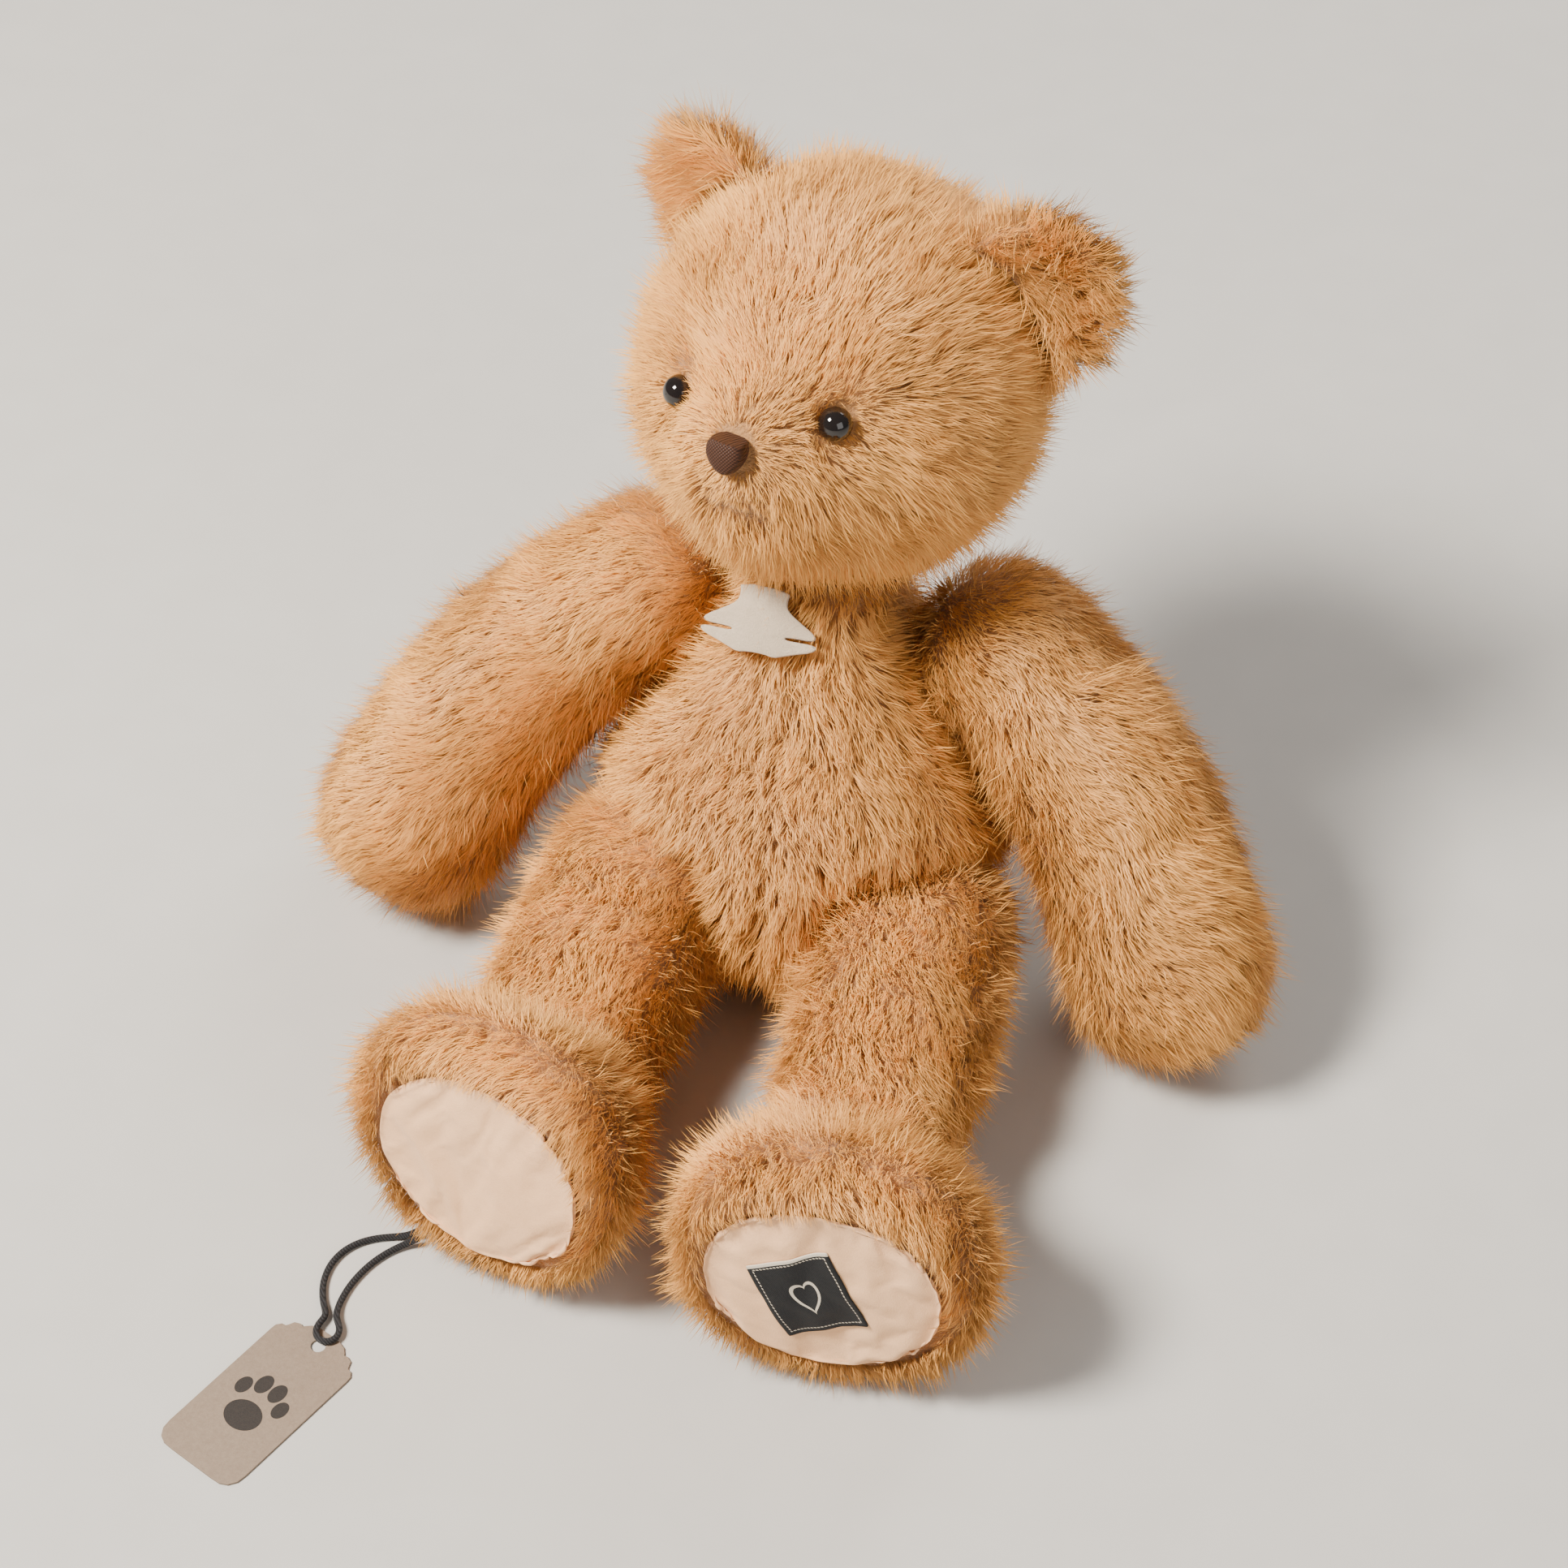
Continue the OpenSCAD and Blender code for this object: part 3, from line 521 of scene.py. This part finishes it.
CORD_ROUTE = [
    (-88.6, -190.4, 4.6), (-91, -191.2, 2.8), (-94, -192, 1.6), (-99, -193.5, 1.3),
    (-104.5, -196, 1.3), (-109.5, -200, 1.3), (-113, -205.5, 1.3),
    (-114.5, -212, 1.3), (-114, -219, 1.3), (-111.5, -225.5, 1.3),
    (-109, -229.5, 1.8), (-107.5, -232.5, 2.3), (-108.6, -235.5, 2.3), (-109, -238.8, 2.3),
    (-107.5, -242, 2.3), (-104.3, -243.2, 2.3), (-101.2, -241.6, 2.3),
    (-100.4, -238.2, 2.3), (-101.6, -235, 2.3), (-103.8, -232.4, 2.3),
    (-104.8, -229, 1.8), (-105.2, -225, 1.3), (-104.8, -219, 1.3),
    (-103.2, -212.5, 1.3), (-100.8, -206.5, 1.3), (-97.5, -201, 1.3),
    (-93.4, -196.6, 1.7), (-90.2, -194.6, 2.9), (-87.3, -193.4, 4.4),
]


def make_cord():
    f = Finish("black_cord", Roughness=0.7, Specular_IOR_Level=0.25, Sheen_Weight=0.08)
    at = f.place()
    bands = {"wave_type": "BANDS", "bands_direction": "DIAGONAL"}
    braid = f.make("TexWave", bands, 1, Vector=at, Scale=420.0, Distortion=1.5, Detail=2.0)
    fluff = f.noise(2500, 2)
    f.into(Base_Color=f.mix(braid * 0.7 + fluff * 0.3, (0.003, 0.003, 0.004), (0.03, 0.028, 0.03)))
    f.bump(braid + fluff * 0.4, 0.8, 0.0004)
    curve = bpy.data.curves.new("tag_cord_black", "CURVE")
    curve.dimensions = "3D"
    s = curve.splines.new("NURBS")
    s.points.add(len(CORD_ROUTE) - 1)
    for q, (x, y, z) in zip(s.points, CORD_ROUTE):
        q.co = (x * MM, y * MM, z * MM, 1)
    s.order_u, s.use_endpoint_u, s.resolution_u = 4, True, 6
    curve.bevel_depth, curve.bevel_resolution, curve.use_fill_caps = 1.2 * MM, 4, True
    curve.materials.append(f.mat)
    o = bpy.data.objects.new("tag_cord_black", curve)
    SCENE.collection.objects.link(o)
    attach(o, "leg_right")
    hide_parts("tag_cord")
    return o


CORD = make_cord()
PILE_FINISH = fur_finish()
GROUND_FINISH = ground_finish()


def swell(me, body):
    """Fuller arms and thighs, with the feet left as they are."""
    if body[:3] not in ("arm", "leg"):
        return
    co, no, _ = arrays(me)
    more = np.full((len(co), 1), ARM_FILL)
    if body[:3] == "leg":
        sole = middle(f"sole_{body[4:]}")
        back = unit(np.array(JOINTS[f"leg_swing_{body[4:]}"]["pos_m"], float) - sole)
        more = THIGH_FILL * np.clip(((co - sole) @ back - 0.045) / 0.03, 0, 1)[:, None]
    me.vertices.foreach_set("co", (co + no * more).reshape(-1))
    me.update()


skins, trees = {}, {}
for body, (forms, stands_for) in FORMS.items():
    me = soft_form(forms, f"{body}_skin", SKIN_VOXEL, SKIN_OUT)
    swell(me, body)
    skins[body] = me
    o = link(f"{body}_skin", me, GROUND_FINISH, body)
    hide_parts(*stands_for)
    bm = bmesh.new()
    bm.from_mesh(me)
    trees[body] = BVHTree.FromBMesh(bm)
    bm.free()


def thin_ear(side):
    """The ear's own skin: its CAD form taken in to the cloth."""
    node = f"ear_{side}"
    bm = shell_of([node], node, EAR_VOXEL, 4)
    tree = BVHTree.FromBMesh(bm)
    moves = []
    for v in bm.verts:
        hit = tree.ray_cast(v.co - v.normal * 1e-4, -v.normal)
        thick = hit[3] if hit[0] is not None else 0.002
        moves.append(v.normal * min(0.005, max(thick / 2 - 0.0015, 0)))
    for v, d in zip(bm.verts, moves):
        v.co -= d
    for v in bm.verts:  # the root of the ear reaches down to the head's cloth
        near, _, _, gap = trees["head"].find_nearest(v.co)
        v.co += (near - v.co) * 1.1 * min(max((0.0135 - gap) / 0.005, 0), 1)
    smoothed(bm, 3)
    bm.normal_update()
    me = as_mesh(bm, node + "_skin")
    o = link(node + "_skin", me, GROUND_FINISH, "head")
    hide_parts(node)
    return me


ears = {side: thin_ear(side) for side in ("left", "right")}


# ---- local rules for the pile ----------------------------------------------------------

def face_rules(p, n, lift, long):
    tone = np.zeros(len(p))
    keep = np.ones(len(p), bool)
    for e in EYES:
        d = np.linalg.norm(p - e, axis=1)
        near = np.clip(1 - (d - 0.006) / 0.014, 0, 1)
        long = long * (1 - 0.55 * near)
        lift = lift + 0.1 * near
        keep &= d > 0.0055
    d = np.linalg.norm(p - NOSE, axis=1)
    near = np.clip(1 - (d - 0.008) / 0.03, 0, 1)
    long = long * (1 - 0.45 * near)
    keep &= d > 0.0085
    # the mouth: a short parting under the nose, darkened with painted shade, with a paler lip below it
    down = np.array([0, 0, -1])
    rel = p - NOSE
    low = rel @ unit(down - FACE * (down @ FACE))
    sideways = rel @ CHEEK
    front = rel @ FACE > -0.03
    mouth = front * (np.abs(sideways) < 0.012)
    slit = np.exp(-((low - 0.021 - 12 * sideways ** 2) / 0.003) ** 2) * mouth
    lip = np.exp(-((low - 0.0265) / 0.003) ** 2) * (np.abs(sideways) < 0.010) * front
    above = np.exp(-((low - 0.015) / 0.006) ** 2) * mouth
    long = long * (1 - 0.6 * slit) * (1 - 0.6 * above)
    tone = tone - 0.6 * slit + 0.35 * lip
    keep &= slit <= 0.85
    # the gusset's seams part the pile a little and are darkened with painted shade
    out = p - HEAD_MID
    seam = np.exp(-((np.abs(out @ CHEEK) - 0.025) / 0.0018) ** 2) * (out @ FACE > -0.02)
    long = long * (1 - 0.1 * seam)
    tone = tone - 0.08 * seam
    return lift, long, tone, keep


def torso_rules(p, n, lift, long):
    # painted shade darkens the pile along the front and back seams; the whole body's pile is also set a
    # little darker
    seam = np.exp(-(p[:, 0] / 0.0022) ** 2)
    return lift, long * (1 - 0.3 * seam), -0.22 * seam - 0.08, np.ones(len(p), bool)


def sole_rules(side):
    lo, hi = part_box(f"sole_{side}")
    tree = BVHTree.FromPolygons([v.co for v in frame["nodes"][f"sole_{side}"].data.vertices],
                                [tuple(q.vertices) for q in frame["nodes"][f"sole_{side}"].data.polygons])
    mid = np.array((lo + hi) / 2)

    def rules(p, n, lift, long):
        near = np.linalg.norm(p - mid, axis=1) < 0.062
        gap = np.full(len(p), 1.0)
        for i in np.nonzero(near)[0]:
            q = tree.find_nearest(Vector(p[i]), 0.02)
            if q[0] is not None:
                gap[i] = q[3]
        keep = gap > 0.0032
        # near the pad's edge the pile stands steeper and shorter and is darkened with painted shade
        close = np.clip(1 - (gap - 0.003) / 0.012, 0, 1)
        return lift + 0.12 * close, long * (1 - 0.25 * close), -0.05 * close, keep
    return rules


for body in FORMS:
    others = [trees[b] for b in FORMS if b != body and (b == "torso" or body == "torso")]
    if body == "head":
        comb, density = comb_head, 1.65
        style = {"local": face_rules, "lift": 0.56, "gather": 0.12}
    elif body == "torso":
        comb, density = comb_torso, 1.4
        style = {"local": torso_rules, "lift": 0.6, "gather": 0.22, "per_tuft": 14, "lean": 0.16}
    elif body.startswith("arm"):
        side = body[4:]
        start = np.array(JOINTS[f"arm_swing_{side}"]["pos_m"], float)
        comb = comb_limb(start, middle(f"arm_stuffing_{side}"))
        density, style = 1.5, {"lift": 0.5, "gather": 0.15, "drift": 0.35}
    else:
        side = body[4:]
        comb, density = comb_leg(side), 1.45
        style = {"local": sole_rules(side), "lift": 0.5, "gather": 0.15, "drift": 0.35}
    seed = sum(map(ord, body))
    grow_pile(skins[body], body, comb, density, PILE_LONG, seed, others, f"{body}_pile", style)

for side, seed in (("left", 77), ("right", 78)):
    grow_pile(ears[side], "head", comb_ear(side), 2.1, EAR_PILE_LONG, seed, [], f"ear_{side}_pile",
              {"lift": 0.62, "gather": 0.25, "lean": 0.2, "drift": 0.7})


# ---- eyes, nose ------------------------------------------------------------------------

def eye_finish():
    f = Finish("eye_gloss", Roughness=0.06, Specular_IOR_Level=0.5, Coat_Weight=0.25, Coat_Roughness=0.03)
    x = f.noise(400, 2)
    f.into(Base_Color=f.mix(x, (0.004, 0.0035, 0.0035), (0.012, 0.008, 0.007)))
    return f.mat


def nylon_finish():
    f = Finish("moulded_nylon", Roughness=0.45)
    x = f.noise(300, 3)
    f.into(Base_Color=f.mix(x, (0.78, 0.78, 0.75), (0.86, 0.86, 0.84)))
    return f.bump(x, 0.1, 0.0005).mat


EYE, NYLON = eye_finish(), nylon_finish()
for n, o in frame["nodes"].items():
    if n.startswith(("eye_left", "eye_right")):
        o.data.materials.clear()
        o.data.materials.append(EYE)
    elif "washer" in n or "disc" in n or "lock" in n:
        o.data.materials.clear()
        o.data.materials.append(NYLON)


def make_nose():
    f = Finish("nose_satin", Roughness=0.5, Specular_IOR_Level=0.2, Sheen_Weight=0.04, Sheen_Roughness=0.4)
    at = f.place()
    turn = f.make("Mapping", None, 0, Vector=at, Rotation=(0.3, 0.1, 0.5))
    x, _, z = f.split(turn)
    warp = f.make("Math", {"operation": "SINE"}, 0, in0=x * 5200.0)
    weft = f.make("Math", {"operation": "SINE"}, 0, in0=z * 5200.0)
    weave = (warp * weft) * 0.5 + 0.5
    f.into(Base_Color=f.mix(weave, (0.016, 0.006, 0.003), (0.075, 0.028, 0.014)))
    f.bump(weave, 0.6, 0.0004)
    me = soft_form(["nose"], "nose_satin", NOSE_VOXEL, 0.0, smooth=2)
    up = unit(np.array([0, 0, 1]) - FACE * FACE[2])
    for v in me.vertices:  # its top is sewn straight
        high = float((np.array(v.co) - NOSE) @ up) - 0.0048
        if high > 0:
            v.co -= Vector(up) * high * 0.85
    o = link("nose_satin", me, f.mat, "head")
    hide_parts("nose")


make_nose()


# ---- soles, label and tags -----------------------------------------------------------------

def own_frame(node, out=None):
    """Middle, axes (longest first, thinnest last) and half sizes of a flat CAD node."""
    me = frame["nodes"][node].data
    co = np.empty(len(me.vertices) * 3)
    me.vertices.foreach_get("co", co)
    co = np.unique(np.round(co.reshape(-1, 3), 6), axis=0)
    _, axes = np.linalg.eigh(np.cov((co - co.mean(0)).T))
    axes = axes.T[::-1]
    if out is not None and axes[2] @ out < 0:
        axes[2] = -axes[2]
    t = (co - co.mean(0)) @ axes.T
    mid = co.mean(0) + ((t.min(0) + t.max(0)) / 2) @ axes
    return mid, axes, (t.max(0) - t.min(0)) / 2


def velour_finish():
    f = Finish("sole_velour", Roughness=0.85, Specular_IOR_Level=0.2, Sheen_Weight=0.25,
               Sheen_Roughness=0.45, Sheen_Tint=(1, 0.86, 0.7, 1))
    nap = f.noise(1900, 4, 0.7)
    brushed = f.noise(120, 4, 0.6)
    broad = f.noise(35, 2)
    tone = nap * 0.45 + brushed * 0.4 + broad * 0.25
    f.into(Base_Color=f.mix(tone, (0.62, 0.33, 0.16), (1.0, 0.62, 0.35)))
    return f.bump(nap * 0.6 + brushed * 0.5, 0.55, 0.0008).mat


def sole_pad(side, finish):
    """A velour pad, swollen and wrinkled against its sewn edge."""
    leg = middle(f"leg_stuffing_{side}")
    mid, axes, half = own_frame(f"sole_{side}")
    if axes[2] @ (mid - leg) < 0:
        axes[2] = -axes[2]
    flat = mid - axes[2] * half[2]
    bm = bmesh.new()
    bmesh.ops.create_grid(bm, x_segments=56, y_segments=56, size=1)
    rim = []
    grain = np.array([v.co[:] for v in bm.verts])
    bumps = waves(grain, 0.35, 5 if side == "left" else 9, 1)[:, 0]
    for v, b in zip(bm.verts, bumps):
        x, y = v.co.x * math.sqrt(1 - v.co.y ** 2 / 2), v.co.y * math.sqrt(1 - v.co.x ** 2 / 2)
        r = min(x * x + y * y, 1)
        lift = half[2] * (0.25 + 1.45 * math.sqrt(max(1 - r, 0)) * 0.8) + b * 0.0004
        if max(abs(v.co.x), abs(v.co.y)) > 0.97:
            rim.append(v.index)
        v.co = Vector(flat + axes[0] * x * half[0] * 0.985 + axes[1] * y * half[1] * 0.985 + axes[2] * lift)
    bmesh.ops.recalc_face_normals(bm, faces=bm.faces)
    bm.normal_update()
    if np.mean([f.normal @ Vector(axes[2]) for f in bm.faces]) < 0:
        bmesh.ops.reverse_faces(bm, faces=bm.faces)
    me = as_mesh(bm, f"sole_pad_{side}")
    start = np.array([v.co[:] for v in me.vertices])
    o = bpy.data.objects.new("pad_cloth", me.copy())
    SCENE.collection.objects.link(o)
    pin = o.vertex_groups.new(name="pin")
    pin.add(rim, 1, "REPLACE")
    m = o.modifiers.new("cloth", "CLOTH")
    c = m.settings
    c.quality, c.mass, c.pin_stiffness, c.vertex_group_mass = 6, 0.05, 1, "pin"
    c.tension_stiffness = c.compression_stiffness = 25
    c.bending_stiffness = 0.25
    c.shrink_min = -0.07
    c.use_pressure, c.uniform_pressure_force = True, 1.5
    c.effector_weights.gravity = 0
    m.collision_settings.use_self_collision = False
    for k in range(1, 26):
        SCENE.frame_set(k)
    swollen = evaluated(o)
    now = np.array([v.co[:] for v in swollen.vertices])
    bpy.data.objects.remove(o)
    SCENE.frame_set(1)
    moved = now - start
    size = np.linalg.norm(moved, axis=1, keepdims=True)
    moved *= np.minimum(1, 0.0035 / np.maximum(size, 1e-9))
    out = moved @ axes[2]
    moved -= np.outer(out - np.clip(out, -0.003, 0.0015), axes[2])
    me.vertices.foreach_set("co", (start + moved).reshape(-1))
    o = link(f"sole_pad_{side}", me, finish, f"leg_{side}")
    m = o.modifiers.new("thick", "SOLIDIFY")
    m.thickness, m.offset = 0.0016, -1
    m = o.modifiers.new("round", "SUBSURF")
    m.levels = m.render_levels = 1
    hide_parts(f"sole_{side}")
    return o


VELOUR = velour_finish()
PADS = {side: sole_pad(side, VELOUR) for side in ("left", "right")}


def foot_label():
    f = Finish("woven_label", Roughness=0.7, Specular_IOR_Level=0.2, Sheen_Weight=0.05)
    u, v = f.uv()
    rib = f.make("Math", {"operation": "SINE"}, 0, in0=v * 560.0) * 0.5 + 0.5
    pick = f.make("Math", {"operation": "SINE"}, 0, in0=u * 420.0) * 0.5 + 0.5
    weave = rib * 0.6 + pick * 0.4
    x, y = u - 0.5, v - 0.47
    # a plain woven heart and a stitched frame
    hx, hy = abs(x) * 3.4, y * 3.4 + 0.12
    heart = (hx * hx + (hy - (hx ** 0.5) * 0.55) ** 2) < 0.34
    inner = (hx * hx + (hy - (hx ** 0.5) * 0.55) ** 2) < 0.22
    edge = abs(x).most(abs(v - 0.5))
    dash = f.make("Math", {"operation": "SINE"}, 0, in0=(u + v) * 150.0) > -0.35
    frame_line = (edge > 0.425) * (edge < 0.438) * dash
    fold = v > 0.955
    pale = (heart - inner).most(frame_line).most(fold)
    cloth = f.mix(weave, (0.002, 0.002, 0.0025), (0.015, 0.015, 0.017))
    f.into(Base_Color=f.mix(pale, cloth, f.mix(weave, (0.42, 0.36, 0.28), (0.75, 0.67, 0.55))))
    f.bump(weave + pale * 0.8, 0.7, 0.0003)
    mid, axes, half = own_frame("foot_label", out=middle("sole_left") - middle("leg_stuffing_left"))
    k = 0 if abs(axes[0][2]) > abs(axes[1][2]) else 1
    up, wide, size = axes[k], axes[1 - k], (half[1 - k], half[k])
    up = up * np.sign(up[2])
    wide = wide * np.sign(np.cross(wide, up) @ axes[2])
    pad = evaluated(PADS["left"])
    tree = BVHTree.FromPolygons([v.co for v in pad.vertices], [tuple(p.vertices) for p in pad.polygons])
    bm = bmesh.new()
    bmesh.ops.create_grid(bm, x_segments=26, y_segments=24, size=1)
    uv = bm.loops.layers.uv.new("OFBake")
    for face in bm.faces:
        for corner in face.loops:
            corner[uv].uv = corner.vert.co.x * 0.5 + 0.5, corner.vert.co.y * 0.5 + 0.5
    for v in bm.verts:
        p = Vector(mid + wide * v.co.x * size[0] + up * v.co.y * size[1] + axes[2] * 0.01)
        hit = tree.ray_cast(p, Vector(-axes[2]), 0.03)
        v.co = (hit[0] if hit[0] is not None else p - Vector(axes[2]) * 0.01) + Vector(axes[2]) * 0.0003
    smoothed(bm, 2)
    o = link("foot_label_woven", as_mesh(bm, "foot_label_woven"), f.mat, "leg_left")
    m = o.modifiers.new("thick", "SOLIDIFY")
    m.thickness, m.offset = 0.0006, 1
    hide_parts("foot_label")


foot_label()


def rounded(points, times=2):
    """Corners cut off a closed outline, over and over."""
    for _ in range(times):
        nxt = points[1:] + points[:1]
        points = [(a[0] * t + b[0] * (1 - t), a[1] * t + b[1] * (1 - t))
                  for a, b in zip(points, nxt) for t in (0.75, 0.25)]
    return points


def flat_cut(outline, hole, thick, to_place, bevel, bend=None):
    """A flat piece cut along an outline in mm, with a soft edge; to_place puts it in the shared frame."""
    bm = bmesh.new()
    edges = []
    for loop in [outline] + ([hole] if hole else []):
        vs = [bm.verts.new((x, y, 0)) for x, y in loop]
        edges += [bm.edges.new((a, b)) for a, b in zip(vs, vs[1:] + vs[:1])]
    bmesh.ops.triangle_fill(bm, edges=edges, use_beauty=True)
    if bend:
        bmesh.ops.subdivide_edges(bm, edges=bm.edges, cuts=2, use_grid_fill=True)
        bmesh.ops.triangulate(bm, faces=bm.faces)
    top = bmesh.ops.extrude_face_region(bm, geom=bm.faces[:])["geom"]
    for v in top:
        if isinstance(v, bmesh.types.BMVert):
            v.co.z += thick
    bmesh.ops.recalc_face_normals(bm, faces=bm.faces)
    rim = [e for e in bm.edges if len(e.link_faces) == 2 and e.calc_face_angle(0) > 1.0]
    bmesh.ops.bevel(bm, geom=rim, offset=bevel, segments=2, profile=0.5, affect="EDGES", material=-1)
    for v in bm.verts:
        z = v.co.z + (bend(v.co.x, v.co.y) if bend else 0)
        v.co = Vector(to_place(v.co.x, v.co.y, z))
    bmesh.ops.recalc_face_normals(bm, faces=bm.faces)
    return bm


def neck_tag():
    f = Finish("cream_felt", Roughness=0.95, Specular_IOR_Level=0.15, Sheen_Weight=0.35, Sheen_Roughness=0.5)
    fibres = f.noise(1500, 5, 0.75, Distortion=1.2)
    blotch = f.noise(260, 3)
    f.into(Base_Color=f.mix(fibres * 0.6 + blotch * 0.35, (0.52, 0.39, 0.26), (0.84, 0.69, 0.51)))
    f.bump(fibres + blotch * 0.5, 0.8, 0.0008)
    mid, axes, half = own_frame("neck_tag", out=np.array([0, -1, 0.6]))
    wide = axes[0] * np.sign(axes[0][0])
    down = axes[1] * -np.sign(axes[1][2])
    top = mid - down * half[1]
    side = [(9.2, 0), (8.4, 4), (9.4, 7), (14, 10.2), (19.6, 13.6), (20.6, 15.2), (19, 16.2),
            (12, 16.2), (9.6, 16.4), (9.6, 17.2), (12, 17.5), (19, 17.4), (21.6, 18.2), (19.5, 20.2),
            (14, 21.8), (10, 23.2), (6.5, 24.4), (3, 23.6)]
    outline = side + [(-x, y) for x, y in reversed(side)]

    def layer(name, scale, height, slide, thick):
        def to_place(x, y, z):
            sideways, along = wide * (x * scale) * MM, down * (y * scale + slide) * MM
            return top + sideways + along + axes[2] * (z + height) * MM
        bm = flat_cut(rounded(outline, 1), None, thick, to_place, 0.35,
                      bend=lambda x, y: 0.5 * math.sin(x * 0.16 + y * 0.1) - 0.0016 * x * x)
        return link(name, as_mesh(bm, name), f.mat, "torso")

    front = layer("neck_tag_front", 1.0, 0.9, -0.3, 1.1)
    back = layer("neck_tag_back", 0.985, -0.9, 0.5, 1.1)
    for o in (front, back):
        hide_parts("neck_tag")


neck_tag()


def swing_tag():
    mid, axes, half = own_frame("swing_tag", out=np.array([0, 0, 1]))
    hole_way = axes[0] * np.sign((middle("leg_outer_right") - mid) @ axes[0])
    side_way = np.cross(axes[2], hole_way)
    end = mid + hole_way * half[0]
    low = -half[2] * 1000
    f = Finish("kraft_card", Roughness=0.75, Specular_IOR_Level=0.3)
    at = f.place()
    turn = math.atan2(side_way[1], side_way[0])
    local = f.make("VectorMath", {"operation": "SUBTRACT"}, 0, in0=at, in1=tuple(mid))
    local = f.make("VectorRotate", {"rotation_type": "Z_AXIS"}, 0, Vector=local, Angle=-turn)
    x, y, z = f.split(local)
    # a plain paw print: one pad and four toes
    pads = [(0, -9, 7.2, 6), (-8.6, 0.2, 2.7, 3.7), (-3.2, 4.6, 2.9, 4.1), (3.2, 4.6, 2.9, 4.1),
            (8.6, 0.2, 2.7, 3.7)]
    ink = None
    for cx, cy, rx, ry in pads:
        dx, dy = (x * 1000 - cx) / rx, (y * 1000 + cy) / ry
        spot = (dx * dx + dy * dy) < 1
        ink = spot if ink is None else ink.most(spot)
    ink = ink * (z > half[2] * 0.6)
    pulp = f.noise(700, 5, 0.7)
    fleck = f.noise(2600, 2)
    card = f.mix(pulp * 0.7 + fleck * 0.3, (0.15, 0.105, 0.072), (0.31, 0.235, 0.175))
    f.into(Base_Color=f.mix(ink * (0.86 + fleck * 0.14), card, (0.012, 0.011, 0.012)))
    f.bump(pulp + fleck * 0.4 - ink * 0.2, 0.3, 0.0003)
    edge = [(0, 0), (4.5, 0.1), (7.6, 1.0), (9.4, 2.7), (9.8, 3.3), (11.2, 2.9), (13.4, 3.8), (14.4, 6.0),
            (14.9, 6.7), (16.4, 6.9), (17.8, 8.6), (18, 11), (18, 30), (18, 52), (18, 60), (17.6, 63.6),
            (15.8, 66.4), (13, 67.8), (9, 68), (0, 68)]
    outline = edge + [(-a, b) for a, b in reversed(edge[1:-1])]
    hole = [(2.6 * math.cos(k * math.pi / 12), 6 + 2.6 * math.sin(k * math.pi / 12)) for k in range(24)]

    def to_place(a, b, h):
        return end + side_way * a * MM - hole_way * b * MM + axes[2] * (low + h) * MM
    bm = flat_cut(outline, hole, half[2] * 2000, to_place, 0.12)
    o = link("swing_tag_card", as_mesh(bm, "swing_tag_card"), f.mat, "leg_right", smooth=False)
    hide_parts("swing_tag")


swing_tag()


# ---- floor and light ---------------------------------------------------------------------

def make_floor():
    bm = bmesh.new()
    bmesh.ops.create_grid(bm, x_segments=1, y_segments=1, size=4)
    me = as_mesh(bm, "floor")
    f = Finish("floor_paper", Roughness=0.8, Specular_IOR_Level=0.2)
    f.into(Base_Color=f.mix(f.noise(40, 3), (0.50, 0.48, 0.45), (0.54, 0.52, 0.49)))
    me.materials.append(f.mat)
    o = bpy.data.objects.new("floor", me)
    SCENE.collection.objects.link(o)


def light(name, at, aim, size, power, colour=(1, 1, 1)):
    lamp = bpy.data.lights.new(name, "AREA")
    lamp.size, lamp.energy, lamp.color = size, power, colour
    o = bpy.data.objects.new(name, lamp)
    SCENE.collection.objects.link(o)
    o.location = at
    o.rotation_mode = "QUATERNION"
    o.rotation_quaternion = (Vector(aim) - Vector(at)).to_track_quat("-Z", "Y")


make_floor()
light("key", (-1.3, -1.0, 2.2), (0, -0.05, 0.12), 0.7, 205, (1, 0.95, 0.87))
light("fill", (1.7, -1.5, 1.2), (0, -0.05, 0.1), 1.6, 20, (1, 0.98, 0.95))
light("back", (0.6, 1.7, 1.5), (0, 0, 0.15), 1.2, 30, (1, 0.97, 0.93))
world = bpy.data.worlds.new("studio")
world.use_nodes = True
world.node_tree.nodes["Background"].inputs[0].default_value = (1, 0.98, 0.96, 1)
world.node_tree.nodes["Background"].inputs[1].default_value = 0.22
SCENE.world = world
